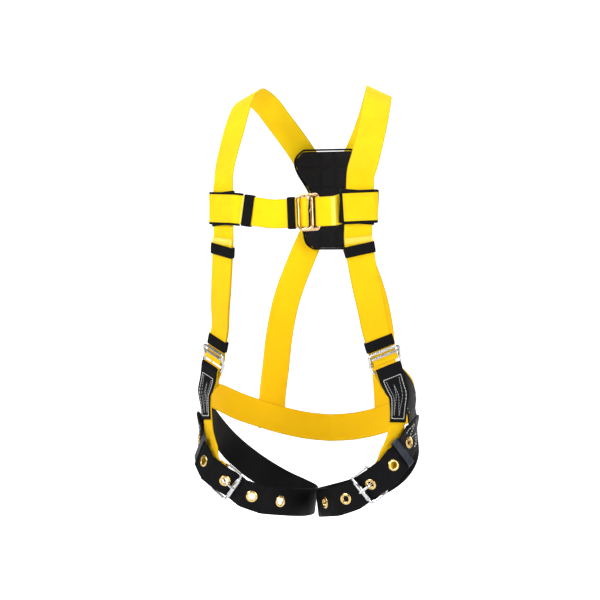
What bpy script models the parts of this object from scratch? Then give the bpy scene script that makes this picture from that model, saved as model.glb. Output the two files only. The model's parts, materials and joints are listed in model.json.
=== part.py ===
"""Full-body fall-arrest harness: shoulder straps crossing at a dorsal D-ring, a pass-through
chest buckle, adjusters at the hips, and leg straps with eyelets and tongue buckles.

Design units are millimetres in the wearer's frame: +X is the wearer's left, -Y the front, +Z up.
The scene is in metres, with its origin on the outer face of the bow of the dorsal D-ring.
Parts that come in pairs are designed on the wearer's left and mirrored to the right.
"""
import math

import bpy
import bmesh
import numpy as np
from mathutils import Vector

for old in list(bpy.data.objects):
    bpy.data.objects.remove(old, do_unlink=True)


def vec(*components):
    return np.array(components, float)


# ------------------------------------------------------------------ shared dimensions (mm)
WEB_W = 45.0                        # webbing width
WEB_T = 2.0                         # webbing thickness
GAP = 0.5                           # space between plies
PLY = WEB_T + GAP                   # pitch of two stacked plies
ROD = 2.3                           # radius of the buckle wire
FOLD = ROD + 0.5 + WEB_T / 2        # centre radius of webbing folded round a wire
STEP = 16.0                         # longest ribbon segment on a gentle curve
SHARP_ANGLE = math.radians(35)      # edges sharper than this are shaded sharp

RING_HALF = 44.0                    # dorsal ring, half width on its centreline
RING_DROP = 76.0                    # hinge bar to the bottom of the bow
RING_REACH = 18.6                   # offset of the bow's plane from the bar
RING_BAR = vec(0.0, 122.6, 165.0)   # middle of the hinge bar
RING_SECTION = 4.5                  # half height of the ring's section
RING_CHAMFER = 1.7                  # corner cut of the section
RING_CORNER = 6.0                   # radius of the bends between bar, arms and bow
ORIGIN = RING_BAR + vec(0.0, RING_REACH + RING_SECTION, -RING_DROP)

SIDES = (("left", 1), ("right", -1))

# name: (base colour, roughness, metallic)
MATERIALS = {
    "yellow_webbing": ((0.95, 0.66, 0.01), 0.75, 0.0),
    "black_webbing": ((0.012, 0.012, 0.014), 0.80, 0.0),
    "black_elastic": ((0.01, 0.01, 0.01), 0.85, 0.0),
    "black_pad": ((0.014, 0.014, 0.015), 0.70, 0.0),
    "gold_zinc": ((0.80, 0.55, 0.25), 0.30, 1.0),
    "bright_steel": ((0.75, 0.76, 0.78), 0.25, 1.0),
    "brass": ((0.85, 0.62, 0.22), 0.30, 1.0),
    "black_plastic": ((0.015, 0.015, 0.018), 0.40, 0.0),
}


def material(name):
    found = bpy.data.materials.get(name)
    if found:
        return found
    colour, roughness, metallic = MATERIALS[name]
    made = bpy.data.materials.new(name)
    made.use_nodes = True
    shader = made.node_tree.nodes["Principled BSDF"]
    shader.inputs["Base Color"].default_value = (*colour, 1.0)
    shader.inputs["Roughness"].default_value = roughness
    shader.inputs["Metallic"].default_value = metallic
    return made


# ------------------------------------------------------------------ vectors and frames
def unit(vector):
    vector = np.asarray(vector, float)
    return vector / np.linalg.norm(vector)


def differences(points):
    """Central differences along the first axis, one-sided at the ends."""
    out = np.zeros_like(points)
    out[1:-1] = points[2:] - points[:-2]
    out[0] = points[1] - points[0]
    out[-1] = points[-1] - points[-2]
    return out


def tangents(points):
    steps = differences(points)
    return steps / np.linalg.norm(steps, axis=1)[:, None]


def lengths_along(points):
    """Distance of each point from the first, along the polyline."""
    return np.concatenate([[0], np.cumsum(np.linalg.norm(np.diff(points, axis=0), axis=1))])


class Frame:
    """A local frame on a strap: along it, out (away from the wearer), and across = out x along."""

    def __init__(self, origin, along, out):
        self.origin = np.asarray(origin, float)
        self.along = unit(along)
        out = np.asarray(out, float)
        self.out = unit(out - self.along * (out @ self.along))
        self.across = np.cross(self.out, self.along)

    def at(self, along=0.0, out=0.0, across=0.0):
        return self.origin + self.along * along + self.out * out + self.across * across

    def facing(self, direction):
        """The same frame with its out axis on the side of direction."""
        out = self.out if self.out @ np.asarray(direction, float) > 0 else -self.out
        return Frame(self.origin, self.along, out)


# ------------------------------------------------------------------ hip surface
# A round thigh low down that widens to the hip: centre x, centre y, radius at the two heights.
HIP_LOW = vec(108.0, -19.0, 62.0)
HIP_HIGH = vec(98.2, -8.8, 78.6)
HIP_LOW_Z = -215.0
HIP_HIGH_Z = -145.0


def hip_section(z):
    """Centre x, centre y and radius at height z."""
    share = min(1.0, max(0.0, (z - HIP_LOW_Z) / (HIP_HIGH_Z - HIP_LOW_Z)))
    return HIP_LOW + (HIP_HIGH - HIP_LOW) * (share * share * (3 - 2 * share))


def hip(degrees, z, height=0.0):
    """Station on the hip: -90 degrees is the front, 0 the side; height is outside the surface."""
    x, y, radius = hip_section(z)
    cos, sin = math.cos(math.radians(degrees)), math.sin(math.radians(degrees))
    lean = (hip_section(z - 1)[2] - hip_section(z + 1)[2]) / 2
    return (x + (radius + height) * cos, y + (radius + height) * sin, z, cos, sin, lean)


def draped(point, centre):
    """point moved so that it is as far from the hip's surface as the strap's centre is."""
    x, y, radius = hip_section(centre[2])
    height = math.hypot(centre[0] - x, centre[1] - y) - radius
    x, y, radius = hip_section(point[2])
    dx, dy = point[0] - x, point[1] - y
    scale = (radius + height) / math.hypot(dx, dy)
    return vec(x + dx * scale, y + dy * scale, point[2])


# ------------------------------------------------------------------ paths
# A station is (x, y, z, outward x, y, z). A path is a list of (point, across[, drape]), where
# drape says how far the strap's width follows the hip's surface (0 flat, 1 fully).
def station(frame, along, out=0.0):
    return (*frame.at(along, out), *frame.out)


def surface(stations, drapes=()):
    """Path through stations; drapes is for the first stations, and the rest have 0."""
    table = np.array(stations, float)
    drapes = list(drapes) + [0.0] * (len(table) - len(drapes))
    return [(row[:3], unit(np.cross(row[3:], direction)), drape)
            for row, direction, drape in zip(table, tangents(table[:, :3]), drapes)]


def run(frame, places):
    """Path through (along, out) places of a frame."""
    return [(frame.at(along, out), frame.across) for along, out in places]


def arc(frame, centre, radius, start, end, step=24.0):
    """Path round a bar at centre (along, out); degrees, 0 along the strap and 90 outward."""
    count = max(2, int(round(abs(end - start) / step)) + 1)
    return run(frame, [(centre[0] + radius * math.cos(angle), centre[1] + radius * math.sin(angle))
                       for angle in np.radians(np.linspace(start, end, count))])


def same_way(path, across):
    """The same path with every across direction on the same side, starting from across."""
    out = []
    for point, direction, *drape in path:
        across = direction if direction @ across > 0 else -direction
        out.append((point, across, *drape))
    return out


def hermite_rows(path, step):
    """Cubic Hermite through the path: rows of point, across, drape at most step apart."""
    points = np.array([entry[0] for entry in path])
    extras = np.array([[*entry[1], entry[2] if len(entry) > 2 else 0.0] for entry in path])
    chords = np.linalg.norm(np.diff(points, axis=0), axis=1)
    directions = np.diff(points, axis=0) / chords[:, None]
    before, after = chords[:-1, None], chords[1:, None]
    inner = (directions[:-1] * after + directions[1:] * before) / (before + after)
    slopes = np.concatenate([directions[:1], inner, directions[-1:]])

    def sample(i, u):
        point = ((2 * u**3 - 3 * u**2 + 1) * points[i]
                 + (u**3 - 2 * u**2 + u) * chords[i] * slopes[i]
                 + (-2 * u**3 + 3 * u**2) * points[i + 1]
                 + (u**3 - u**2) * chords[i] * slopes[i + 1])
        return np.concatenate([point, extras[i] * (1 - u) + extras[i + 1] * u])

    rows = []
    for i, chord in enumerate(chords):
        parts = max(1, int(math.ceil(chord / step)))
        rows += [sample(i, k / parts) for k in range(parts)]
    rows.append(sample(len(chords) - 1, 1.0))
    return np.array(rows)


def straighten(rows, stations, spans, step):
    """Resamples fine rows so that each span (start, end, end piece) of the length is straight."""
    lengths = lengths_along(rows[:, :3])
    marks = [0.0, lengths[-1]]
    for start, end, piece in spans:
        marks += [start, start + piece, end - piece, end]
    for point in stations:
        mark = lengths[int(np.argmin(np.linalg.norm(rows[:, :3] - point, axis=1)))]
        if not any(start - 8 < mark < end + 8 for start, end, _ in spans):
            marks.append(mark)
    marks = sorted(set(round(mark, 3) for mark in marks))

    cuts = [marks[0]]
    for a, b in zip(marks, marks[1:]):
        inside = any(start - 0.01 < a and b < end + 0.01 for start, end, _ in spans)
        parts = 1 if inside else max(1, int(math.ceil((b - a) / step)))
        cuts += [a + (b - a) * (k + 1) / parts for k in range(parts)]
    rows = np.array([[np.interp(cut, lengths, column) for column in rows.T] for cut in cuts])

    for start, end, _ in spans:
        inside = [i for i, cut in enumerate(cuts) if start - 0.01 < cut < end + 0.01]
        first, last = rows[inside[0]].copy(), rows[inside[-1]].copy()
        for i in inside:
            u = (cuts[i] - cuts[inside[0]]) / (cuts[inside[-1]] - cuts[inside[0]])
            rows[i, :3] = first[:3] * (1 - u) + last[:3] * u
            rows[i, 3:6] = (first[3:6] + last[3:6]) / 2
    return rows


def refine(path, step=STEP, spans=()):
    """Smooth resampling of a path -> (points, across directions, drapes)."""
    rows = hermite_rows(path, 1.0 if spans else step)
    if spans:
        rows = straighten(rows, [entry[0] for entry in path], spans, step)
    points, across = rows[:, :3], rows[:, 3:6].copy()
    direction = tangents(points)
    across -= direction * np.sum(across * direction, axis=1)[:, None]
    across /= np.linalg.norm(across, axis=1)[:, None]
    return points, across, rows[:, 6]


def frame_on(refined, distance):
    """A frame on a refined path, distance mm from its start."""
    points, across, _ = refined
    lengths = lengths_along(points)
    k = int(np.searchsorted(lengths, distance)) - 1
    u = (distance - lengths[k]) / (lengths[k + 1] - lengths[k])
    along = unit(points[k + 1] - points[k])
    sideways = across[k] * (1 - u) + across[k + 1] * u
    return Frame(points[k] * (1 - u) + points[k + 1] * u, along, np.cross(along, sideways))


# ------------------------------------------------------------------ shapes: (vertices, faces)
def ribbon(path, width=WEB_W, thick=WEB_T, step=STEP, spans=()):
    """A flat strap swept along a path. width may be a function of the share of the length."""
    points, across, drapes = refine(path, step, spans)
    lengths = lengths_along(points)
    shares = (-1.0, -0.5, 0.0, 0.5, 1.0) if drapes.max() > 0 else (-1.0, 1.0)
    columns = len(shares)
    grid = np.zeros((len(points), columns, 3))
    for i, (centre, drape) in enumerate(zip(points, drapes)):
        half = (width(lengths[i] / lengths[-1]) if callable(width) else width) / 2
        for j, share in enumerate(shares):
            flat = centre + across[i] * half * share
            if drape == 0:
                grid[i, j] = flat
            else:
                grid[i, j] = flat * (1 - drape) + draped(flat, centre) * drape
    sideways = differences(grid.swapaxes(0, 1)).swapaxes(0, 1)
    normals = np.cross(differences(grid), sideways)
    normals /= np.linalg.norm(normals, axis=2)[:, :, None]

    ring = 2 * columns
    verts, faces = [], []
    for i in range(len(points)):
        verts += list(grid[i] - normals[i] * thick / 2)
        verts += list((grid[i] + normals[i] * thick / 2)[::-1])
        if i:
            base = ring * i
            for j in range(ring):
                after = (j + 1) % ring
                faces.append((base - ring + j, base - ring + after, base + after, base + j))
    for base, turned in ((0, True), (ring * (len(points) - 1), False)):
        for j in range(columns - 1):
            face = (base + j, base + j + 1, base + ring - 2 - j, base + ring - 1 - j)
            faces.append(face[::-1] if turned else face)
    return np.array(verts), faces


def tube(points, section, first_axis, closed=True):
    """A section [(a, b)] swept by parallel transport, its a axis starting along first_axis."""
    points = np.array(points, float)
    count, sides = len(points), len(section)
    if closed:
        direction = np.roll(points, -1, 0) - np.roll(points, 1, 0)
        direction /= np.linalg.norm(direction, axis=1)[:, None]
    else:
        direction = tangents(points)
    a_axis = np.asarray(first_axis, float)
    a_axis = unit(a_axis - direction[0] * (a_axis @ direction[0]))
    verts, faces = [], []
    for i in range(count):
        if i:
            turn = np.cross(direction[i - 1], direction[i])
            sin, cos = np.linalg.norm(turn), direction[i - 1] @ direction[i]
            if sin > 1e-9:
                pole = turn / sin
                a_axis = (a_axis * cos + np.cross(pole, a_axis) * sin
                          + pole * (pole @ a_axis) * (1 - cos))
            a_axis = unit(a_axis - direction[i] * (a_axis @ direction[i]))
        b_axis = np.cross(direction[i], a_axis)
        verts += [points[i] + a_axis * a + b_axis * b for a, b in section]
    for i in range(count if closed else count - 1):
        j = (i + 1) % count
        for k in range(sides):
            after = (k + 1) % sides
            faces.append((i * sides + k, i * sides + after, j * sides + after, j * sides + k))
    if not closed:
        faces.append(tuple(range(sides))[::-1])
        faces.append(tuple((count - 1) * sides + k for k in range(sides)))
    return np.array(verts), faces


def circle(radius, sides=8, turn=0.5):
    """Section of a round bar; turn is a share of one side."""
    angles = [2 * math.pi * (k + turn) / sides for k in range(sides)]
    return [(radius * math.cos(angle), radius * math.sin(angle)) for angle in angles]


def chamfered_square(half, cut):
    short = half - cut
    return [(half, -short), (half, short), (short, half), (-short, half),
            (-half, short), (-half, -short), (-short, -half), (short, -half)]


def wire_loop(frame, start, end, half_width, corner, height=0.0):
    """A closed wire rectangle with rounded corners, from start to end along the frame."""
    points = []
    wide = half_width - corner
    for along, across, first in ((end - corner, wide, 0), (start + corner, wide, 90),
                                 (start + corner, -wide, 180), (end - corner, -wide, 270)):
        for k in range(4):
            angle = math.radians(first + 90 * k / 3)
            points.append(frame.at(along + corner * math.cos(angle), height,
                                   across + corner * math.sin(angle)))
    return tube(points, circle(ROD), frame.out)


def cross_bar(frame, centre, half_length, sides=8):
    """A straight round bar across the strap, at centre (along, out)."""
    ends = [frame.at(*centre, -half_length), frame.at(*centre, half_length)]
    return tube(ends, circle(ROD, sides, 0.0), frame.along, closed=False)


def band(frame, half_length, low, high, half_width, wall, corner=1.5, seam=0.0):
    """A flat rectangular band round a strap: its opening is low..high and +-half_width.
    seam is extra flat width on the +across side."""
    inner = [(-half_width, low), (half_width, low), (half_width, high), (-half_width, high)]
    left, right = -half_width - wall, half_width + wall + seam
    bottom, top = low - wall, high + wall
    outer = [(left, bottom + corner), (left + corner, bottom),
             (right - corner, bottom), (right, bottom + corner),
             (right, top - corner), (right - corner, top),
             (left + corner, top), (left, top - corner)]
    verts = [frame.at(along, out, across) for along in (-half_length, half_length)
             for across, out in inner + outer]
    faces = []
    for k in range(4):
        after = (k + 1) % 4
        faces.append((k, 12 + k, 12 + after, after))
    for k in range(8):
        after = (k + 1) % 8
        faces.append((4 + k, 4 + after, 16 + after, 16 + k))
    for base, turned in ((0, False), (12, True)):
        for k in range(4):                       # each inner corner meets two outer corners
            after = (k + 1) % 4
            near, far = base + 4 + 2 * k, base + 5 + 2 * k
            for face in ((base + k, near, far),
                         (base + k, far, base + 4 + 2 * after, base + after)):
                faces.append(face[::-1] if turned else face)
    return np.array(verts), faces


def block(frame, half_across, half_along, low, high):
    corners = [(-half_across, -half_along), (half_across, -half_along),
               (half_across, half_along), (-half_across, half_along)]
    verts = [frame.at(along, out, across) for out in (low, high) for across, along in corners]
    faces = [(0, 1, 2, 3), (7, 6, 5, 4)]
    for k in range(4):
        after = (k + 1) % 4
        faces.append((k, 4 + k, 4 + after, after))
    return np.array(verts), faces


def lathe(frame, profile, sides=12):
    """A closed ring: profile [(radius, height)] turned about the frame's out axis."""
    count = len(profile)
    verts, faces = [], []
    for i in range(sides):
        angle = 2 * math.pi * (i + 0.5) / sides
        verts += [frame.at(radius * math.cos(angle), height, radius * math.sin(angle))
                  for radius, height in profile]
        j = (i + 1) % sides
        for k in range(count):
            after = (k + 1) % count
            faces.append((i * count + k, j * count + k, j * count + after, i * count + after))
    return np.array(verts), faces


def mirror_point(point, sign):
    return np.asarray(point, float) * vec(sign, 1, 1)


def mirror_shape(shape, sign):
    """The shape itself for sign 1, its mirror image across the X = 0 plane for -1."""
    verts, faces = shape
    if sign > 0:
        return shape
    return mirror_point(verts, sign), [tuple(reversed(face)) for face in faces]


def joined_with_mirror(shape, seam_count):
    """A strap whose last seam_count vertices lie on X = 0, joined there with its mirror image."""
    verts, faces = shape
    seam = len(verts) - seam_count
    verts = verts.copy()
    verts[seam:, 0] = 0.0
    other_verts, other_faces = mirror_shape((verts, faces), -1)

    def kept(all_faces):
        return [face for face in all_faces if min(face) < seam]

    joined = kept(faces) + [tuple(i if i >= seam else len(verts) + i for i in face)
                            for face in kept(other_faces)]
    return np.concatenate([verts, other_verts[:seam]]), joined


# ------------------------------------------------------------------ scene objects
def to_scene(point):
    return Vector(tuple((np.asarray(point, float) - ORIGIN) / 1000.0))


def add_empty(name, point):
    made = bpy.data.objects.new(name, None)
    bpy.context.scene.collection.objects.link(made)
    made.empty_display_size = 0.02
    made.location = to_scene(point)
    return made


def add(name, shape, slot, pivot=None, parent=None, union=(), cuts=()):
    """Makes one named object in metres. pivot is the point its origin sits on; without one it
    sits on the parent's, or on the scene's. union and cuts are shapes for booleans."""
    verts, faces = shape
    parent_base = parent.location.copy() if parent else Vector((0, 0, 0))
    base = parent_base if pivot is None else to_scene(pivot)
    mesh = bpy.data.meshes.new(name)
    mesh.from_pydata([tuple(to_scene(vert) - base) for vert in verts], [], faces)
    bm = bmesh.new()
    bm.from_mesh(mesh)
    bmesh.ops.recalc_face_normals(bm, faces=bm.faces)
    bm.to_mesh(mesh)
    bm.free()
    mesh.materials.append(material(slot))
    mesh.shade_smooth()
    mesh.set_sharp_from_angle(angle=SHARP_ANGLE)

    made = bpy.data.objects.new(name, mesh)
    bpy.context.scene.collection.objects.link(made)
    made.parent = parent
    made.location = base - parent_base
    for operation, tools in (("UNION", union), ("DIFFERENCE", cuts)):
        for k, tool in enumerate(tools):
            label = f"{operation.lower()}_{k}"
            helper = add(f"tool_{name}_{label}", tool, slot)
            helper.hide_render = True
            helper.display_type = "WIRE"
            modifier = made.modifiers.new(label, "BOOLEAN")
            modifier.operation = operation
            modifier.solver = "EXACT"
            modifier.object = helper
    return made


def add_pair(pattern, shape, slot, pivot=None, parents=None, union=(), cuts=()):
    """The part on the wearer's left and its mirror image; {} in pattern stands for the side."""
    for side, sign in SIDES:
        add(pattern.format(side), mirror_shape(shape, sign), slot,
            pivot=None if pivot is None else mirror_point(pivot, sign),
            parent=parents[side] if parents else None,
            union=[mirror_shape(tool, sign) for tool in union],
            cuts=[mirror_shape(tool, sign) for tool in cuts])


# ------------------------------------------------------------------ key frames, wearer's left
# Hip adjuster, along up the shoulder strap
ADJUSTER = Frame((138, -78, -90), (-0.25, -0.21, 0.945), (0.62, -0.77, 0.0))
# Chest crossing, along up the shoulder strap and +across towards the chest buckle
SLEEVE = Frame((109, -124, 142.5), (0.03, 0.06, 1.0), (0.50, -0.86, 0.05))
# Chest buckle, along towards the wearer's left and across upward
CHEST = Frame((30.0, -142.8, 134.5), (1.0, 0.0, 0.04), (0.0, -1.0, 0.0))
# Leg buckle, origin on the tongue's bar, along away from the roller
BUCKLE_R = 30.0                     # tongue's bar to roller's bar
BUCKLE_ROLLER = vec(104.0, -85.0, -296.0)
BUCKLE_ALONG = unit((0.78, 0.09, 0.61))
BUCKLE = Frame(BUCKLE_ROLLER + BUCKLE_R * BUCKLE_ALONG, BUCKLE_ALONG, (0.20, -0.96, -0.10))

# Bars of the hip adjuster, (along, out)
TOP_BAR = (12.0, 3.9)
LOOSE_BAR = (4.5, 3.9)
MIDDLE_BAR = (-4.0, -1.2)
LOW_BAR = (-16.5, 0.0)

# ------------------------------------------------------------------ shoulder straps
CROSSING = vec(0, 131, 165)         # where the two straps cross on the back
CROSS_LIFT = 1.5                    # each strap's shift outward or inward at the crossing
TAIL_LENGTH = 175.0                 # free end, doubled back up the front

# Up the front from the hip adjuster, over the shoulder, across the back to the other side.
TORSO = [
    station(ADJUSTER, 24, -PLY),
    station(ADJUSTER, 44, -PLY),
    (121, -98, -12, 0.57, -0.81, -0.10),
    (115, -111, 28, 0.53, -0.84, -0.12),
    (110, -121.3, 68, 0.51, -0.86, -0.04),
    *[station(SLEEVE, along, out) for along, out in (
        (-46, -0.3), (-34, 0), (-26, 0), (0, 0), (26, 0), (34, -0.1), (46, -1.4))],
    (112, -98, 218, 0.44, -0.80, 0.38),
    (113, -63, 258, 0.38, -0.72, 0.55),
    (113, -33, 292, 0.38, -0.55, 0.72),
    (111, -3, 322, 0.42, -0.30, 0.85),
    (106, 27, 335, 0.42, 0.05, 0.88),
    (95, 58, 325, 0.34, 0.48, 0.78),
    (77, 92, 294, 0.20, 0.80, 0.55),
    (55, 120, 257, 0.06, 0.96, 0.26),
    (36, 130.8, 225, 0.0, 1.0, 0.04),
    (15, 131, 189, 0.0, 1.0, 0.0),
    (*CROSSING, 0.0, 1.0, 0.0),
    (-15, 131, 141, 0.0, 1.0, 0.0),
    (-29, 131, 116, 0.0, 1.0, 0.0),
    (-55, 130, 58, -0.08, 1.0, -0.03),
    (-76, 128, 0, -0.14, 1.0, -0.02),
    (-88, 126, -60, -0.18, 1.0, 0.0),
    (-93, 121.0, -115, -0.30, 1.0, 0.0),
    (-96, 113.4, -158, -0.42, 0.9, 0.0),
    (-97, 111.6, -186, -0.46, 0.89, 0.0),
    (-97.3, 111.6, -214, -0.46, 0.89, 0.0),
]
TORSO_RUN = refine(surface(TORSO))


def lifted(row, layer):
    """A torso station moved in or out near the crossing; stations on the front stay."""
    x, y, z, *outward = row
    if y > 0:
        fade = 1 - (abs(z - CROSSING[2]) - 50) / 60
        y += CROSS_LIFT * layer * min(1.0, max(0.0, fade))
    return (x, y, z, *outward)


def shoulder_strap(layer):
    """Free end, turn round the adjuster's middle bar, up the front, over the shoulder, down
    the back. layer is 1 for the strap that lies outside at the crossing, -1 for the other."""
    points, across, _ = refine(surface([lifted(row, layer) for row in TORSO]))
    normals = np.cross(tangents(points), across)
    tail = [(point + normal * PLY, sideways)
            for point, normal, sideways, length
            in zip(points, normals, across, lengths_along(points)) if length < TAIL_LENGTH]
    path = tail[::-1]
    path += run(ADJUSTER, [(TOP_BAR[0], 0.0), (LOOSE_BAR[0], 0.05)])
    path += arc(ADJUSTER, MIDDLE_BAR, FOLD, 71.7, 275.8, 22.0)
    path += zip(points, across)
    return ribbon(path, step=11.0)


for side, sign in SIDES:
    add(f"shoulder_strap_{side}", mirror_shape(shoulder_strap(sign), sign), "yellow_webbing")

# ------------------------------------------------------------------ hip adjusters, tail keepers
ADJUSTER_HALF = 27.0                # half width on the wire's centre
ADJUSTER_CORNER = 4.0
LOOSE_BAR_HALF = 24.0
HIP_KEEPER = Frame(ADJUSTER.at(24.0, -PLY - 0.1), ADJUSTER.along, ADJUSTER.out)
TORSO_KEEPER = frame_on(TORSO_RUN, TAIL_LENGTH - 22.0)


def adjuster_frame():
    """Wire loop whose side rails step from the top bar, over the middle bar, to the low bar."""
    rail_along, rail_out = zip(LOW_BAR, MIDDLE_BAR, LOOSE_BAR, TOP_BAR)

    def corner(centre, first):
        angles = [math.radians(first + 90 * k / 3) for k in range(4)]
        return [(centre + ADJUSTER_CORNER * math.cos(angle),
                 ADJUSTER_HALF - ADJUSTER_CORNER + ADJUSTER_CORNER * math.sin(angle))
                for angle in angles]

    half = corner(TOP_BAR[0] - ADJUSTER_CORNER, 0)
    half += [(along, ADJUSTER_HALF)
             for along in (LOOSE_BAR[0] - 0.5, 0.0, MIDDLE_BAR[0] - 1.0, -9.0)]
    half += corner(LOW_BAR[0] + ADJUSTER_CORNER, 90)
    loop = half + [(along, -across) for along, across in half[::-1]]
    points = [ADJUSTER.at(along, np.interp(along, rail_along, rail_out), across)
              for along, across in loop]
    return tube(points, circle(ROD), ADJUSTER.out)


def tail_keeper(frame, low):
    """Elastic band round two plies; low is its clearance under the inner one."""
    return band(frame, half_length=8.5, low=-WEB_T / 2 - low, high=PLY + WEB_T / 2 + 0.6,
                half_width=WEB_W / 2 + 0.7, wall=1.3)


add_pair("hip_adjuster_frame_{}", adjuster_frame(), "bright_steel",
         union=[cross_bar(ADJUSTER, MIDDLE_BAR, ADJUSTER_HALF)])
add_pair("hip_adjuster_bar_{}", cross_bar(ADJUSTER, LOOSE_BAR, LOOSE_BAR_HALF, sides=10),
         "bright_steel", pivot=ADJUSTER.at(*LOOSE_BAR))
add_pair("hip_keeper_{}", tail_keeper(HIP_KEEPER, 1.3), "black_elastic", pivot=HIP_KEEPER.origin)
add_pair("torso_keeper_{}", tail_keeper(TORSO_KEEPER, 0.6), "black_elastic",
         pivot=TORSO_KEEPER.origin)

# ------------------------------------------------------------------ chest sleeves
SLEEVE_DEPTH = 1.4                  # half depth of the opening
SLEEVE_WALL = 1.2
SLEEVE_HALF = WEB_W / 2 + 1.0       # half width of the opening
SLEEVE_EDGE = SLEEVE_HALF + SLEEVE_WALL
# Left sleeve only: flat seam towards the chest buckle
SLEEVE_SEAMS = {"left": 6.5, "right": 0.0}

for side, sign in SIDES:
    sleeve = band(SLEEVE, half_length=26.0, low=-SLEEVE_DEPTH, high=SLEEVE_DEPTH,
                  half_width=SLEEVE_HALF, wall=SLEEVE_WALL, corner=0.8, seam=SLEEVE_SEAMS[side])
    add(f"chest_sleeve_{side}", mirror_shape(sleeve, sign), "black_pad")

# ------------------------------------------------------------------ chest straps
# Height of the chest strap over the shoulder strap's centre
CHEST_PLY = SLEEVE_DEPTH + SLEEVE_WALL + 0.9 + WEB_T / 2
CHEST_SLANT = 0.11                  # drop of the chest strap per mm towards the buckle
CHEST_HALF = 1.3                    # half the pitch of the two plies beside the buckle
FRAME_RIGHT, FRAME_LEFT = -10.0, 19.0               # bars of the female frame, along
LINK_RIGHT, LINK_MIDDLE, LINK_LEFT = -11.0, 0.5, 11.0    # bars of the male link, along
LINK_OUT = 7.8                      # height of the link over the female frame

# Straight run under the outer keeper, on the wearer's right
OUTER_RUN = [vec(-74, -142.0, 139.6), vec(-62.5, -142.4, 138.0), vec(-51, -142.8, 136.4)]


def by_sleeve(sign, places):
    """Path through (distance from the sleeve's middle towards the chest buckle, out) places."""
    return [(mirror_point(SLEEVE.at(-CHEST_SLANT * inward, out, inward), sign),
             mirror_point(SLEEVE.along, sign)) for inward, out in places]


def sleeve_turn(sign):
    """Round the outer edge of a sleeve, from its back to its front."""
    angles = [math.radians(-90 - 180 * k / 6) for k in range(7)]
    return by_sleeve(sign, [(-SLEEVE_EDGE - GAP + CHEST_PLY * math.cos(angle),
                             CHEST_PLY * math.sin(angle)) for angle in angles])


def chest_strap_right():
    """Loop round the right sleeve, main ply behind the female frame's bar, round the link's
    middle bar, free end back in front."""
    up = vec(0, 0, 1)
    path = by_sleeve(-1, [(22, -CHEST_PLY), (6, -CHEST_PLY), (-14, -CHEST_PLY)])
    path += sleeve_turn(-1)
    path += by_sleeve(-1, [(-14, CHEST_PLY), (8, CHEST_PLY), (25, CHEST_PLY)])
    path += [(point, up) for point in OUTER_RUN]
    path += run(CHEST, [(-50, -CHEST_HALF), (-31, -CHEST_HALF), (-16.5, -CHEST_HALF),
                        (FRAME_RIGHT, -FOLD - 0.1), (-5.0, -1.4)])
    path += arc(CHEST, (LINK_MIDDLE, LINK_OUT), FOLD, -68, 205, 22.0)
    path += run(CHEST, [(-6.4, 4.7), (FRAME_RIGHT, FOLD + 0.1), (-16.5, CHEST_HALF),
                        (-31, CHEST_HALF), (-50, CHEST_HALF)])
    path += [(point - vec(0, 2 * CHEST_HALF, 0), up) for point in OUTER_RUN[::-1]]
    return ribbon(path)


def chest_strap_left():
    """Front end ply, round the female frame's bar, behind the left sleeve, round its outer
    edge, end in front."""
    path = run(CHEST, [(47, 1.5), (40, 1.5), (34, 1.5), (27, 2.3)])
    path += arc(CHEST, (FRAME_LEFT, 0.0), FOLD, 82, 278, 22.0)
    path += run(CHEST, [(27, -2.3), (35, -1.9)])
    path += [(CHEST.at(42, -2.3), unit(CHEST.across + SLEEVE.along))]
    path += by_sleeve(1, [(22, -CHEST_PLY), (4, -CHEST_PLY), (-14, -CHEST_PLY)])
    path += sleeve_turn(1)
    path += by_sleeve(1, [(-14, CHEST_PLY), (4, CHEST_PLY), (30, CHEST_PLY)])
    return ribbon(path)


add("chest_strap_right", chest_strap_right(), "yellow_webbing")
add("chest_strap_left", chest_strap_left(), "yellow_webbing")

# ------------------------------------------------------------------ chest buckle and keepers
FRAME_HALF = 26.5                   # half widths on the wire's centre
LINK_HALF = 26.0

add("chest_buckle_frame", wire_loop(CHEST, FRAME_RIGHT, FRAME_LEFT, FRAME_HALF, corner=4.0),
    "gold_zinc")
add("chest_buckle_link",
    wire_loop(CHEST, LINK_RIGHT, LINK_LEFT, LINK_HALF, corner=6.0, height=LINK_OUT),
    "gold_zinc", pivot=CHEST.at(LINK_MIDDLE, LINK_OUT),
    union=[cross_bar(CHEST, (LINK_MIDDLE, LINK_OUT), LINK_HALF)])

INNER_KEEPER = Frame(CHEST.at(-23.3), CHEST.along, CHEST.out)
OUTER_KEEPER = Frame(OUTER_RUN[1] - vec(0, CHEST_HALF, 0), OUTER_RUN[2] - OUTER_RUN[0],
                     (0.0, -1.0, 0.0))
for name, frame, half_length in (("chest_keeper_inner", INNER_KEEPER, 6.0),
                                 ("chest_keeper_outer", OUTER_KEEPER, 8.0)):
    depth = CHEST_HALF + WEB_T / 2 + 0.5
    keeper = band(frame, half_length, -depth, depth, half_width=WEB_W / 2 + 0.8, wall=1.3)
    add(name, keeper, "black_elastic", pivot=frame.origin)

# ------------------------------------------------------------------ leg loop dimensions
BUCKLE_HALF = 25.5                  # leg buckle, half width on the wire's centre
BUCKLE_CORNER = 3.4
ROLLER_R = 4.1
ROLLER_HALF = 17.5                  # half length of the roller
PIN_GAP = 0.35                      # play of the roller and of the tongue on their bars
TONGUE_WIRE = 1.4                   # wire radius of the tongue
TONGUE_OVER = 6.9                   # height of the leg strap over the tongue's bar
NOTCH = 3.6                         # half width of the strap's slot that clears the tongue
LEG_H = -4.6                        # leg strap's height on the hip surface (negative: inside)
SEAT_H = -8.6                       # sub-pelvic strap's height on the hip surface
LEG_STEP = 14.0                     # longest segment of the leg strap

HOLE_PITCH = 50.0                   # spacing of the eyelets
HOLE_R = 6.4                        # hole punched in the leg strap
EYELET_R = 9.2                      # eyelet's flange radius
EYELET_BORE = 5.2                   # clear bore of an eyelet

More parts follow.
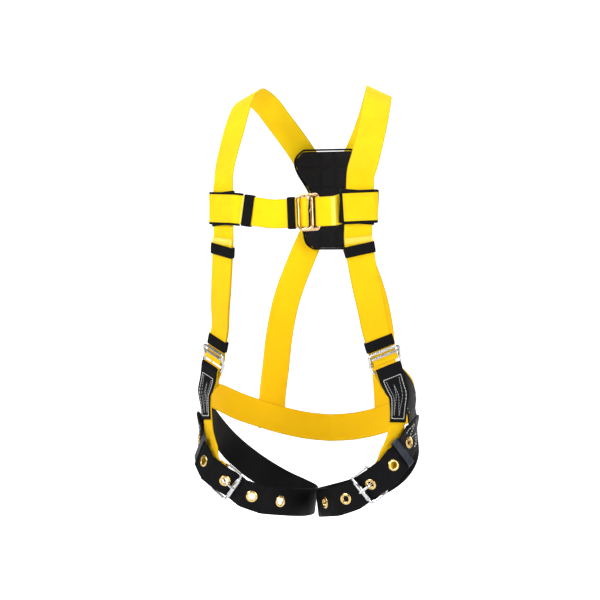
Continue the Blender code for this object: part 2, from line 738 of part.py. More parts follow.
# The middle hole lies between roller and tongue's bar, on a slope fitted to the strap there.
HOLE_ALONG = -12.2
HOLE_SLOPE = 0.449
HOLE_DEPTH = 5.4                    # depth under the roller's bar in that fit
HOLE_OUT = (HOLE_ALONG + BUCKLE_R * TONGUE_OVER / (HOLE_DEPTH + TONGUE_OVER)) * HOLE_SLOPE


# ------------------------------------------------------------------ leg straps
def buckle_strap():
    """Inner end, round the adjuster's low bar, down the hip, round the leg buckle's bar,
    inner end."""
    path = run(ADJUSTER, [(-46, -1.25), (-38, -1.25), (-27, -2.4)])
    path += arc(ADJUSTER, LOW_BAR, ROD + 0.6 + WEB_T / 2, 262, 458)
    path += run(ADJUSTER, [(-27, 2.4), (-38, 1.25), (-50, 1.25)])
    down = surface([
        station(ADJUSTER, -50, 1.25),
        station(ADJUSTER, -60, 1.3),
        hip(-47.0, -166, 1.3),
        hip(-48.0, -185, 1.3),
        hip(-48.8, -203, 1.3),
        hip(-49.5, -220, 1.4),
        hip(-51.0, -234, 2.2),
        hip(-54.0, -246, 4.4),
        hip(-58.0, -257, 6.6),
        station(BUCKLE, 12, 2.9),
    ], drapes=[0, 0, 0.6, 1, 1, 1, 1, 0.6, 0.2])
    path += down[1:]                # its first point is already there
    path += arc(BUCKLE, (0, 0), FOLD, 80, 280, 22.0)
    path += run(BUCKLE, [(9, -3.4), (13.0, -3.5)])
    return ribbon(same_way(path, ADJUSTER.across))


def hip_patch():
    """Cover over the buckle strap's fold round the low bar and down its front."""
    path = arc(ADJUSTER, LOW_BAR, 6.2, 45, 90, 15.0)
    path += run(ADJUSTER, [(-25, 5.3), (-31, 4.7), (-38, 4.05), (-50, 4.0), (-60, 4.1)])
    path += surface([hip(-47, -166, 4.3), hip(-47.6, -177, 4.3), hip(-48.2, -190, 4.3)],
                    drapes=[0.6, 0.8, 1.0])
    return ribbon(same_way(path, ADJUSTER.across))


def leg_strap_path():
    """From the front of the hip round the back of the thigh, through the crotch, under the
    roller, over the tongue's bar, free end up the hip."""
    thigh = surface([
        hip(-50, -118, LEG_H),
        hip(-38, -130, LEG_H),
        hip(-22, -146, LEG_H),
        hip(-6, -165, LEG_H),
        hip(7, -184, LEG_H),
        (167, 32, -213, 0.96, 0.25, 0.0),
        (152, 68, -246, 0.78, 0.62, 0.0),
        (118, 98, -281, 0.42, 0.90, 0.0),
        (76, 108, -306, 0.0, 1.0, 0.0),
        (36, 98, -320, -0.42, 0.90, 0.0),
        (12, 74, -326, -0.85, 0.52, -0.08),
        (5.5, 44, -327, -0.985, 0.0, -0.15),
        (8.5, 10, -326, -0.93, -0.30, -0.12),
        (19, -24, -323, -0.78, -0.60, -0.06),
        (38, -53, -319, -0.60, -0.80, -0.05),
        (66, -75, -314, -0.32, -0.94, -0.08),
        station(BUCKLE, -BUCKLE_R - 13, -6.0),
    ], drapes=[1, 1, 1, 0.9, 0.7, 0.2])
    under_roller = -(ROLLER_R + 0.45 + WEB_T / 2)
    lean = math.degrees(math.asin((TONGUE_OVER - under_roller) / BUCKLE_R))
    path = thigh + arc(BUCKLE, (-BUCKLE_R, 0), under_roller, 90, 90 + lean, 12.0)
    path += arc(BUCKLE, (0, 0), TONGUE_OVER, 90 + lean, 94, 14.0)
    path += surface([
        station(BUCKLE, 12, 7.2),
        station(BUCKLE, 28, 9.0),
        hip(-46.0, -243, 15.0),
        hip(-33.0, -229, 10.0),
        hip(-21.0, -215.5, 8.4),
        hip(-9.0, -202.5, 7.0),
        hip(2.0, -190.5, 6.0),
    ])
    return same_way(path, thigh[0][1])


def middle_hole_distance():
    """Distance of the middle hole along the leg strap."""
    points = refine(LEG_PATH, 1.0)[0]
    hole = BUCKLE.at(HOLE_ALONG, HOLE_OUT)
    return lengths_along(points)[int(np.argmin(np.linalg.norm(points - hole, axis=1)))]


def straight_span(middle, half, end_piece):
    return (middle - half, middle + half, end_piece)


LEG_PATH = leg_strap_path()
HOLE_MIDDLE = middle_hole_distance()
HOLES = [HOLE_MIDDLE + k * HOLE_PITCH for k in (-2, -1, 0, 1, 2)]
LEG_KEEPER_AT = HOLE_MIDDLE + 1.5 * HOLE_PITCH
# The strap is straight at each hole, over a shorter length inside the buckle, and at the keeper.
LEG_SPANS = [straight_span(hole, 9.0, 2.0) if hole == HOLE_MIDDLE
             else straight_span(hole, 14.2, 4.8) for hole in HOLES]
LEG_SPANS.append(straight_span(LEG_KEEPER_AT, 10.0, 1.5))
LEG_RUN = refine(LEG_PATH, LEG_STEP, LEG_SPANS)


def eyelet_frame(distance):
    """On the middle of the long straight segment of the leg strap nearest to distance."""
    points, across, _ = LEG_RUN
    lengths = lengths_along(points)
    short_penalty = np.where(np.diff(lengths) > 10, 0, 50)
    k = int(np.argmin(np.abs((lengths[:-1] + lengths[1:]) / 2 - distance) + short_penalty))
    middle = (points[k] + points[k + 1]) / 2
    along = unit(points[k + 1] - points[k])
    frame = Frame(middle, along, np.cross(along, across[k] + across[k + 1]))
    return frame.facing(middle - vec(92, 14, middle[2]))     # away from the thigh's middle


def eyelet(frame):
    """Brass ring through the strap, with flanges proud of both faces."""
    face = WEB_T / 2 + 0.3
    neck = HOLE_R - 0.45
    return lathe(frame, [
        (EYELET_BORE, -face - 0.4), (EYELET_BORE, face + 0.5), (EYELET_BORE + 1.5, face + 1.0),
        (EYELET_R, face + 0.2), (EYELET_R, face), (neck, face), (neck, -face),
        (EYELET_R, -face), (EYELET_R, -face - 0.5), (EYELET_BORE + 0.6, -face - 0.7)])


def punch(frame):
    """Cutter for one hole."""
    return tube([frame.at(0, -3), frame.at(0, 3)], circle(HOLE_R, 12), frame.along, closed=False)


# ------------------------------------------------------------------ leg buckle
def tongue():
    """Eye round the bar, then a bent prong up through the eyelet that rests on the roller."""
    eye_radius = ROD + PIN_GAP + TONGUE_WIRE
    rest = ROLLER_R + TONGUE_WIRE + PIN_GAP
    places = [(eye_radius * math.cos(math.radians(angle)),
               eye_radius * math.sin(math.radians(angle)))
              for angle in (125, 80, 35, -10, -55, -100)]
    places += [(-6.2, -2.2), (-9.6, 0.1), (-12.4, 2.6), (-15.6, 4.9), (-19.5, rest),
               (-BUCKLE_R, rest), (-BUCKLE_R - 5.0, rest - 0.3)]
    points = [BUCKLE.at(along, out) for along, out in places]
    return tube(points, circle(TONGUE_WIRE), BUCKLE.across, closed=False)


def roller():
    """Sleeve on the buckle's far bar, turned about the across axis."""
    bore = ROD + PIN_GAP
    axis_frame = Frame(BUCKLE.at(-BUCKLE_R), BUCKLE.along, BUCKLE.across)
    return lathe(axis_frame, [(bore, -ROLLER_HALF), (ROLLER_R, -ROLLER_HALF),
                              (ROLLER_R, ROLLER_HALF), (bore, ROLLER_HALF)])


# ------------------------------------------------------------------ leg loops
HUBS = {side: add_empty(f"leg_loop_{side}_pivot", mirror_point(ADJUSTER.at(*LOW_BAR), sign))
        for side, sign in SIDES}
EYELETS = [eyelet_frame(hole) for hole in HOLES]
LEG_KEEPER = frame_on(LEG_RUN, LEG_KEEPER_AT).facing((1, 0, 0))

add_pair("buckle_strap_{}", buckle_strap(), "yellow_webbing", parents=HUBS,
         cuts=[block(BUCKLE, NOTCH, 9.0, -9.0, 9.0)])
add_pair("hip_patch_{}", hip_patch(), "black_webbing", parents=HUBS)
add_pair("leg_strap_{}", ribbon(LEG_PATH, step=LEG_STEP, spans=LEG_SPANS), "black_webbing",
         parents=HUBS, cuts=[punch(frame) for frame in EYELETS])
for number, frame in enumerate(EYELETS, 1):
    add_pair(f"eyelet_{{}}_{number}", eyelet(frame), "brass", parents=HUBS)
add_pair("leg_buckle_frame_{}", wire_loop(BUCKLE, -BUCKLE_R, 0.0, BUCKLE_HALF, BUCKLE_CORNER),
         "bright_steel", parents=HUBS)
add_pair("leg_buckle_tongue_{}", tongue(), "bright_steel", pivot=BUCKLE.origin, parents=HUBS)
add_pair("leg_buckle_roller_{}", roller(), "bright_steel", pivot=BUCKLE.at(-BUCKLE_R),
         parents=HUBS)
add_pair("leg_tail_keeper_{}",
         band(LEG_KEEPER, half_length=7, low=-WEB_T / 2 - 0.5, high=WEB_T / 2 + 0.5,
              half_width=WEB_W / 2 + 0.8, wall=1.6),
         "black_plastic", pivot=LEG_KEEPER.origin, parents=HUBS)


# ------------------------------------------------------------------ sub-pelvic strap
def pelvic_strap():
    """From the front of one hip, inside the leg strap, round under the seat to the other."""
    path = surface([
        hip(-52, -116, SEAT_H),
        hip(-38, -126, SEAT_H),
        hip(-22, -137, SEAT_H),
        hip(-6, -147, SEAT_H),
        hip(8, -153, SEAT_H),
        (159, 38, -163, 0.84, 0.54, 0.0),
        (141, 73, -177, 0.66, 0.75, 0.0),
        (112, 100, -190, 0.42, 0.90, 0.0),
        (76, 117, -202, 0.20, 0.98, 0.0),
        (38, 126, -210, 0.06, 1.0, 0.0),
        (0, 129, -213, 0.0, 1.0, 0.0),
    ], drapes=[1, 1, 1, 1, 1, 0.3])
    half = ribbon(same_way(path, path[0][1]))
    return joined_with_mirror(half, seam_count=10)      # a draped section has 10 vertices


add("sub_pelvic_strap", pelvic_strap(), "yellow_webbing")

# ------------------------------------------------------------------ dorsal pad and web guides
PAD_FACE = 116.2                    # y of the pad's outer face, clear of the ring's bar
PAD_T = 3.6
PAD_BEND_FROM = 28                  # height over the crossing where the pad starts to curve in
PAD_BEND = 0.0022
# Height over the crossing, full width
PAD_WIDTHS = [(-80, 52), (-72, 78), (-46, 88), (-26, 78), (-13, 64), (13, 64),
              (26, 80), (44, 104), (60, 116), (72, 112), (84, 84)]


def dorsal_pad():
    """Pad that is narrow at the D-ring's bar and wide over the shoulder blades."""
    path = []
    for level, _ in PAD_WIDTHS:
        bend = PAD_BEND * max(0.0, level - PAD_BEND_FROM) ** 2
        centre = vec(0, PAD_FACE - PAD_T / 2 - bend, CROSSING[2] + level)
        path.append((centre, vec(1, 0, 0)))
    lengths = lengths_along(np.array([point for point, _ in path]))
    shares = lengths / lengths[-1]
    widths = [width for _, width in PAD_WIDTHS]
    return ribbon(path, width=lambda share: float(np.interp(share, shares, widths)),
                  thick=PAD_T, step=14.0)


def guide_frame(distance, layer):
    """On a shoulder strap, distance mm before the crossing."""
    points = TORSO_RUN[0]
    crossing = int(np.argmin(np.linalg.norm(points - CROSSING, axis=1)))
    spot = frame_on(TORSO_RUN, lengths_along(points)[crossing] - distance)
    origin = spot.origin + vec(0, CROSS_LIFT * layer, 0)
    return Frame(origin, spot.along, spot.out).facing((0, 1, 0))


add("dorsal_pad", dorsal_pad(), "black_pad")
for side, sign in SIDES:
    for level, distance in (("upper", 52.0), ("lower", -53.0)):
        frame = guide_frame(distance, sign)
        depth = WEB_T / 2 + 0.7
        guide = band(frame, half_length=6, low=-depth, high=depth,
                     half_width=WEB_W / 2 + 0.9, wall=1.3, corner=1.0)
        foot_depth = frame.origin[1] - PAD_FACE - 0.35      # ends a hair clear of the pad
        foot = block(frame, 16, 5.4, -foot_depth, -WEB_T / 2 - 1.3)
        add(f"dorsal_guide_{level}_{side}", mirror_shape(guide, sign), "black_plastic",
            union=[mirror_shape(foot, sign)])


# ------------------------------------------------------------------ dorsal D-ring
def d_ring():
    """Straight hinge bar, short arms outward, then a flat bow hanging down."""
    bends = [(RING_CORNER * math.sin(angle), RING_CORNER - RING_CORNER * math.cos(angle))
             for angle in [math.radians(90 * k / 3) for k in range(4)]]
    half = [(RING_HALF - RING_CORNER + ahead, aside, 0) for ahead, aside in bends]
    half += [(RING_HALF, RING_REACH - RING_CORNER + ahead, -aside) for ahead, aside in bends]
    drop = RING_DROP - RING_HALF                # from the bar to the bow's centre
    half.append((RING_HALF, RING_REACH, -drop * 0.6))
    bow = [(RING_HALF * math.cos(angle), RING_REACH, -drop - RING_HALF * math.sin(angle))
           for angle in [math.radians(180 * k / 12) for k in range(13)]]
    points = half + bow + [(-x, y, z) for x, y, z in half[::-1]]
    return tube([RING_BAR + vec(*point) for point in points],
                chamfered_square(RING_SECTION, RING_CHAMFER), (0, 1, 0))


add("dorsal_d_ring", d_ring(), "bright_steel", pivot=RING_BAR)
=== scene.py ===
"""Full-body safety harness: woven webbing, stitching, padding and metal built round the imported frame.

Shapes are worked out in millimetres in the wearer's frame (+X wearer's left, -Y front, +Z up),
mostly on the left side, and mirrored in X. Meshes are written in metres from ORIGIN, behind the
bottom of the dorsal ring.
A strap's path is a list of places (point, across[, drape]): across points along its width, and
drape, 0 to 1, is how far the width bends round the hip.
"""
import json
import math

import bmesh
import bpy
import numpy as np
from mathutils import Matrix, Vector


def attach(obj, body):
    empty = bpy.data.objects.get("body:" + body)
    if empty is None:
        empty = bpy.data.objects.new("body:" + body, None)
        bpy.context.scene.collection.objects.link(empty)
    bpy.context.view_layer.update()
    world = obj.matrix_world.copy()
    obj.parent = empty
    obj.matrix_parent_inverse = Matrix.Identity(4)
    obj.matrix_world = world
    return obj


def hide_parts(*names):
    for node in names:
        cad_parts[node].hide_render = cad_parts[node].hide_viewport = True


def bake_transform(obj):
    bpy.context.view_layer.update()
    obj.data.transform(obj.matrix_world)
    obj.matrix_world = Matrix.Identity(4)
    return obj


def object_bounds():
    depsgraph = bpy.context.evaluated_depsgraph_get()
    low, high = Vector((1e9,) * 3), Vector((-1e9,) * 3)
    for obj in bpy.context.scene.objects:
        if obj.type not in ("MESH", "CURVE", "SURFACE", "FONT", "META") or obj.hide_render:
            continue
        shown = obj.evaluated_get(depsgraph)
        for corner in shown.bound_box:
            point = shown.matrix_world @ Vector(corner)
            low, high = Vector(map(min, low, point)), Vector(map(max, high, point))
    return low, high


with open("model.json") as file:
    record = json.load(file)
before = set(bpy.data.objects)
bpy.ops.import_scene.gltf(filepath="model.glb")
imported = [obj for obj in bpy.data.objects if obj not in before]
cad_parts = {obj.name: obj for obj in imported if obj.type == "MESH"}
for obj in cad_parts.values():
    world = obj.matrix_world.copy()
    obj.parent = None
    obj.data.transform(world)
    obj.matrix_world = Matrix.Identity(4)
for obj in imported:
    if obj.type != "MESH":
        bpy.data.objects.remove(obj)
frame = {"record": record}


def bounds_box():
    return [list(map(float, corner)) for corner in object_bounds()]


CAD_BOX = bounds_box()
BODY = {node: body for body, nodes in frame["record"]["behaviour"]["bodies"].items()
        for node in nodes}

# ------------------------------------------------------------------ driving dimensions (mm)
WEB_W = 45.0            # webbing width
WEB_T = 2.0             # webbing thickness
HALF_W, HALF_T = WEB_W / 2, WEB_T / 2
GAP = 0.5               # space between plies
PLY = WEB_T + GAP       # pitch of two stacked plies
ROD = 2.3               # radius of the buckle wire
FOLD = ROD + 0.5 + HALF_T   # radius of webbing folded round a bar
STEP = 16.0             # longest piece of a coarse path
HOLE_PITCH = 50.0       # spacing of the leg strap eyelets
HOLE_R = 6.4            # hole punched in the leg strap
EYELET_R = 9.2          # eyelet flange radius
EYELET_BORE = 5.2       # clear bore of an eyelet
RING_HALF = 44.0        # dorsal ring, half width on its centreline
RING_DROP = 76.0        # dorsal ring, hinge bar to bottom of the bow
RING_REACH = 18.6       # dorsal ring, offset of the bow plane from the bar
RING_BAR = np.array([0.0, 122.6, 165.0])
RING_SECTION = 4.5      # half height of the forged section
ORIGIN = RING_BAR + np.array([0.0, RING_REACH + RING_SECTION, -RING_DROP])
SIDES = (("left", 1), ("right", -1))


# ------------------------------------------------------------------ vectors and frames
def vec(*values):
    return np.array(values, float)


def unit(vector):
    vector = np.asarray(vector, float)
    return vector / np.linalg.norm(vector)


def mirrored(points, sign):
    return np.asarray(points, float) * vec(sign, 1, 1)


def smooth_step(share):
    share = np.clip(share, 0, 1)
    return share * share * (3 - 2 * share)


class Frame:
    """Axes on a strap: along it, out from the wearer, and across = out x along."""

    def __init__(self, origin, along, out):
        self.origin = np.asarray(origin, float)
        self.along = unit(along)
        out = np.asarray(out, float)
        self.out = unit(out - self.along * (out @ self.along))
        self.across = np.cross(self.out, self.along)

    def at(self, along=0.0, out=0.0, across=0.0):
        return self.origin + self.along * along + self.out * out + self.across * across

    def station(self, along=0.0, out=0.0):
        """Station (x, y, z, out x, out y, out z) for on_surface."""
        return (*self.at(along, out), *self.out)

    def path(self, pairs):
        """Path through (along, out) pairs."""
        return [(self.at(*pair), self.across) for pair in pairs]

    def arc(self, centre, radius, start, end, step=24.0):
        """Path round a bar at centre (along, out); 0 degrees is along, 90 is out."""
        count = max(2, int(round(abs(end - start) / step)) + 1)
        return self.path([(centre[0] + radius * math.cos(a), centre[1] + radius * math.sin(a))
                          for a in np.radians(np.linspace(start, end, count))])


# ------------------------------------------------------------------ lines and paths
def tangents(points):
    points = np.asarray(points, float)
    out = np.zeros_like(points)
    out[1:-1] = points[2:] - points[:-2]
    out[0], out[-1] = points[1] - points[0], points[-1] - points[-2]
    return out / np.linalg.norm(out, axis=1)[:, None]


def run_lengths(points):
    """Length along a line up to each of its points."""
    return np.concatenate([[0], np.cumsum(np.linalg.norm(np.diff(points, axis=0), axis=1))])


def nearest(points, place):
    return int(np.argmin(np.linalg.norm(points - np.asarray(place, float), axis=1)))


def squared(across, along):
    """Across directions made square to the line."""
    across = across - along * np.sum(across * along, axis=1)[:, None]
    return across / np.linalg.norm(across, axis=1)[:, None]


def even(points, step, closed=True):
    """The same line at an even spacing."""
    points = np.asarray(points, float)
    if closed:
        points = np.concatenate([points, points[:1]])
    dist = run_lengths(points)
    cuts = np.linspace(0, dist[-1], max(4, int(round(dist[-1] / step))) + 1)
    out = np.stack([np.interp(cuts, dist, column) for column in points.T], axis=1)
    return out[:-1] if closed else out


def relax(points, rounds, closed=True):
    points = np.array(points, float)
    for _ in range(rounds):
        if closed:
            points = (0.25 * np.roll(points, 1, 0) + 0.5 * points
                      + 0.25 * np.roll(points, -1, 0))
        else:
            points[1:-1] = 0.25 * points[:-2] + 0.5 * points[1:-1] + 0.25 * points[2:]
    return points


def quarter(centre_x, centre_y, radius, start, segments, turn=90):
    """Points of a quarter circle; start and turn in degrees."""
    angles = [math.radians(start + turn * k / segments) for k in range(segments + 1)]
    return [(centre_x + radius * math.cos(a), centre_y + radius * math.sin(a)) for a in angles]


def rounded_loop(on, start, end, half, out, radius, segments=10):
    """Closed rectangle with rounded corners, start to end along and +-half across."""
    side = half - radius
    pairs = []
    for along, across, angle in ((end - radius, side, 0), (start + radius, side, 90),
                                 (start + radius, -side, 180), (end - radius, -side, 270)):
        pairs += quarter(along, across, radius, angle, segments)
    return even([on.at(along, out, across) for along, across in pairs], 1.3)


def oval(half_a, half_b, count=16, power=2.0):
    out = []
    for k in range(count):
        angle = 2 * math.pi * (k + 0.5) / count
        c, s = math.cos(angle), math.sin(angle)
        out.append((half_a * math.copysign(abs(c) ** (2 / power), c),
                    half_b * math.copysign(abs(s) ** (2 / power), s)))
    return out


def on_surface(stations):
    """Path through stations (x, y, z, out x, out y, out z) on the body."""
    stations = np.array(stations, float)
    return [(row[:3], unit(np.cross(row[3:], along)))
            for row, along in zip(stations, tangents(stations[:, :3]))]


def draping(stations, drapes):
    """Path through stations with their drapes; stations past the last drape have none."""
    drapes = drapes + [0] * (len(stations) - len(drapes))
    return [(*place, drape) for place, drape in zip(on_surface(stations), drapes)]


def same_way(path, across):
    """The same path with every across direction on the same side as the one before."""
    out = []
    for place in path:
        across = place[1] if place[1] @ across > 0 else -place[1]
        out.append((place[0], across, *place[2:]))
    return out


def straighten(rows, places, step, spans, fine):
    """Rows cut again at the ends of the spans, each span drawn to a straight line."""
    dist = run_lengths(rows[:, :3])
    marks = [0.0, dist[-1]]
    for start, end, margin in spans:
        marks += [start, start + margin, end - margin, end]
    for place in places:
        mark = dist[nearest(rows[:, :3], place)]
        if not any(start - 8 < mark < end + 8 for start, end, _ in spans):
            marks.append(mark)
    marks = sorted({round(mark, 3) for mark in marks})
    cuts = [marks[0]]
    for low, high in zip(marks, marks[1:]):
        inside = any(start - 0.01 < low and high < end + 0.01 for start, end, _ in spans)
        parts = 1 if inside and not fine else max(1, int(math.ceil((high - low) / step)))
        cuts += [low + (high - low) * (k + 1) / parts for k in range(parts)]
    cuts = np.array(cuts)
    rows = np.stack([np.interp(cuts, dist, column) for column in rows.T], axis=1)
    for start, end, _ in spans:
        inside = (cuts > start - 0.01) & (cuts < end + 0.01)
        first, last = rows[inside][0], rows[inside][-1]
        part = cuts[inside]
        share = ((part - part[0]) / (part[-1] - part[0]))[:, None]
        rows[inside, :3] = first[:3] * (1 - share) + last[:3] * share
        rows[inside, 3:6] = (first[3:6] + last[3:6]) / 2
    return rows


def refine(path, step=STEP, straight=(), fine=False):
    """Cubic Hermite curve through a path -> points, across, drape.

    straight lists spans (start, end, margin) to make straight, with an end piece of margin
    each; fine keeps the usual steps inside them.
    """
    points = np.array([place[0] for place in path])
    others = np.array([(*place[1], place[2] if len(place) > 2 else 0.0) for place in path])
    chord = np.linalg.norm(np.diff(points, axis=0), axis=1)[:, None]
    heading = np.diff(points, axis=0) / chord
    middle = (heading[:-1] * chord[1:] + heading[1:] * chord[:-1]) / (chord[:-1] + chord[1:])
    slope = np.concatenate([heading[:1], middle, heading[-1:]])

    def sample(i, u):
        point = ((2 * u**3 - 3 * u**2 + 1) * points[i] + (u**3 - 2 * u**2 + u) * chord[i] * slope[i]
                 + (-2 * u**3 + 3 * u**2) * points[i + 1] + (u**3 - u**2) * chord[i] * slope[i + 1])
        return np.concatenate([point, others[i] * (1 - u) + others[i + 1] * u])

    rows = []
    for i in range(len(chord)):
        parts = max(1, int(math.ceil(chord[i, 0] / (1.0 if straight else step))))
        rows += [sample(i, k / parts) for k in range(parts)]
    rows.append(sample(len(chord) - 1, 1.0))
    rows = np.array(rows)
    if straight:
        rows = straighten(rows, points, step, straight, fine)
    return rows[:, :3], squared(rows[:, 3:6], tangents(rows[:, :3])), rows[:, 6]


def frame_on(points, across, dist):
    """A frame on a refined path, dist mm from its start."""
    lengths = run_lengths(points)
    k = int(np.searchsorted(lengths, dist)) - 1
    share = (dist - lengths[k]) / (lengths[k + 1] - lengths[k])
    along = unit(points[k + 1] - points[k])
    return Frame(points[k] * (1 - share) + points[k + 1] * share, along,
                 np.cross(along, across[k] * (1 - share) + across[k + 1] * share))


# ------------------------------------------------------------------ hip surface
# A round thigh low down, widening to the hip above it: centre x, centre y, radius.
HIP_LOW, HIP_HIGH = (108.0, -19.0, 62.0), (98.2, -8.8, 78.6)
HIP_Z = (-215.0, -145.0)


def hip_section(z):
    share = smooth_step((z - HIP_Z[0]) / (HIP_Z[1] - HIP_Z[0]))
    return [low + (high - low) * share for low, high in zip(HIP_LOW, HIP_HIGH)]


def hip(angle, z, height=0.0):
    """Station on the hip: angle in degrees (-90 front, 0 side), height outside the surface."""
    centre_x, centre_y, radius = hip_section(z)
    c, s = math.cos(math.radians(angle)), math.sin(math.radians(angle))
    lean = (hip_section(z - 1)[2] - hip_section(z + 1)[2]) / 2
    return centre_x + (radius + height) * c, centre_y + (radius + height) * s, z, c, s, lean


def draped(point, centre):
    """point moved in or out until it is as far from the hip as the strap's centre is."""
    centre_x, centre_y, radius = hip_section(centre[2])
    height = math.hypot(centre[0] - centre_x, centre[1] - centre_y) - radius
    centre_x, centre_y, radius = hip_section(point[2])
    x, y = point[0] - centre_x, point[1] - centre_y
    scale = (radius + height) / math.hypot(x, y)
    return vec(centre_x + x * scale, centre_y + y * scale, point[2])


# ------------------------------------------------------------------ key frames, left side
# Hip adjuster, along up the torso strap; its bars are (along, out).
ADJUSTER = Frame((138, -78, -90), (-0.25, -0.21, 0.945), (0.62, -0.77, 0.0))
TOP_BAR, KNURL_BAR, MID_BAR, LOW_BAR = (12.0, 3.9), (4.5, 3.9), (-4.0, -1.2), (-16.5, 0.0)
# Leg buckle, origin on the tongue's bar, along from the roller to that bar.
BUCKLE_R = 30.0
BUCKLE_HALF = 25.5
BUCKLE_ROLLER = vec(104, -85, -296)
BUCKLE_ALONG = unit((0.78, 0.09, 0.61))
BUCKLE = Frame(BUCKLE_ROLLER + BUCKLE_R * BUCKLE_ALONG, BUCKLE_ALONG, (0.20, -0.96, -0.10))
# Chest crossing, along up the shoulder strap, across towards the chest buckle.
SLEEVE = Frame((109, -124, 142.5), (0.03, 0.06, 1.0), (0.50, -0.86, 0.05))
# Chest buckle, along towards the wearer's left.
CHEST = Frame((30.0, -142.8, 134.5), (1.0, 0.0, 0.04), (0.0, -1.0, 0.0))

# ------------------------------------------------------------------ shoulder strap path
# Stations (x, y, z, out x, out y, out z) from above the hip adjuster, over the shoulder, to the
# lower back on the other side.
TORSO = [
    ADJUSTER.station(44, -PLY),
    (121, -98, -12, 0.57, -0.81, -0.10), (115, -111, 28, 0.53, -0.84, -0.12),
    (110, -121.3, 68, 0.51, -0.86, -0.04),
    SLEEVE.station(-46, -0.3), SLEEVE.station(-34), SLEEVE.station(-26), SLEEVE.station(0),
    SLEEVE.station(26), SLEEVE.station(34, -0.1), SLEEVE.station(46, -1.4),
    (112, -98, 218, 0.44, -0.80, 0.38), (113, -63, 258, 0.38, -0.72, 0.55),
    (113, -33, 292, 0.38, -0.55, 0.72), (111, -3, 322, 0.42, -0.30, 0.85),
    (106, 27, 335, 0.42, 0.05, 0.88), (95, 58, 325, 0.34, 0.48, 0.78),
    (77, 92, 294, 0.20, 0.80, 0.55), (55, 120, 257, 0.06, 0.96, 0.26),
    (36, 130.8, 225, 0.0, 1.0, 0.04), (15, 131, 189, 0.0, 1.0, 0.0),
    (0, 131, 165, 0.0, 1.0, 0.0), (-15, 131, 141, 0.0, 1.0, 0.0),
    (-29, 131, 116, 0.0, 1.0, 0.0), (-55, 130, 58, -0.08, 1.0, -0.03),
    (-76, 128, 0, -0.14, 1.0, -0.02), (-88, 126, -60, -0.18, 1.0, 0.0),
    (-93, 121.0, -115, -0.30, 1.0, 0.0), (-96, 113.4, -158, -0.42, 0.9, 0.0),
    (-97, 111.6, -186, -0.46, 0.89, 0.0), (-97.3, 111.6, -214, -0.46, 0.89, 0.0),
]
TORSO_START = ADJUSTER.station(24, -PLY)
CROSSING = vec(0, 131, 165)     # where the two shoulder straps cross on the back
CROSS_LIFT = 1.5                # each strap's share of the lift there
TAIL_LENGTH = 175.0             # free end of the shoulder strap, doubled back up the front


def shoulder_path(layer):
    """Free end, turn round the adjuster's middle bar, up the front, over and down the back.

    layer is +1 for the strap that lies outside where the two cross.
    """
    stations = [TORSO_START]
    for x, y, z, *out in TORSO:
        if z < 262 and y > 90:
            y += CROSS_LIFT * layer * min(1.0, max(0.0, 1 - (abs(z - CROSSING[2]) - 50) / 60))
        stations.append((x, y, z, *out))
    points, across, _ = refine(on_surface(stations))
    out = np.cross(tangents(points), across)
    tail = [(points[i] + out[i] * PLY, across[i])
            for i, dist in enumerate(run_lengths(points)) if dist < TAIL_LENGTH]
    turn = ADJUSTER.arc(MID_BAR, FOLD, 71.7, 275.8, 22.0)
    return (tail[::-1] + ADJUSTER.path([(12, 0.0), (4.5, 0.05)]) + turn
            + list(zip(points, across)))


HIP_KEEPER = Frame(ADJUSTER.at(24.0, -PLY - 0.1), ADJUSTER.along, ADJUSTER.out)
TORSO_KEEPER = frame_on(*refine(on_surface([TORSO_START] + TORSO))[:2], TAIL_LENGTH - 22.0)

# ------------------------------------------------------------------ chest strap paths
SLEEVE_GAP = 1.4                                 # sleeve wall's centre from the strap's centre
SLEEVE_WALL = 1.2
SLEEVE_HALF = HALF_W + 1.0
CHEST_PLY = SLEEVE_GAP + SLEEVE_WALL + 0.9 + HALF_T    # chest strap over the shoulder strap
CHEST_EDGE = SLEEVE_HALF + SLEEVE_WALL           # outer edge of the sleeve
SEAM = 6.5                                       # flat seam of the left sleeve
LINK_OUT = 7.8                                   # height of the male link over the female frame
LINK_BARS = (-11.0, 0.5, 11.0)                   # its three bars, along
FRAME_BARS = (-10.0, 19.0)                       # the two bars of the female frame
SLANT = 0.11                                     # the chest strap drops towards the buckle
CHEST_HALF = 1.3                                 # half the pitch of the plies beside the buckle
# Straight run under the outer keeper, on the right.
OUTER_RUN = [vec(-74, -142.0, 139.6), vec(-62.5, -142.4, 138.0), vec(-51, -142.8, 136.4)]


def sleeve_place(sign, inward, out):
    """Point inward mm from the sleeve's middle towards the chest buckle, out mm outward."""
    return mirrored(SLEEVE.at(-SLANT * inward, out, inward), sign)


def along_sleeve(sign, pairs):
    return [(sleeve_place(sign, *pair), mirrored(SLEEVE.along, sign)) for pair in pairs]


def sleeve_turn(sign):
    """Round the outer edge of a sleeve, from its back to its front."""
    angles = [math.radians(-90 - 30 * k) for k in range(7)]
    return along_sleeve(sign, [(-CHEST_EDGE - GAP + CHEST_PLY * math.cos(a),
                                CHEST_PLY * math.sin(a)) for a in angles])


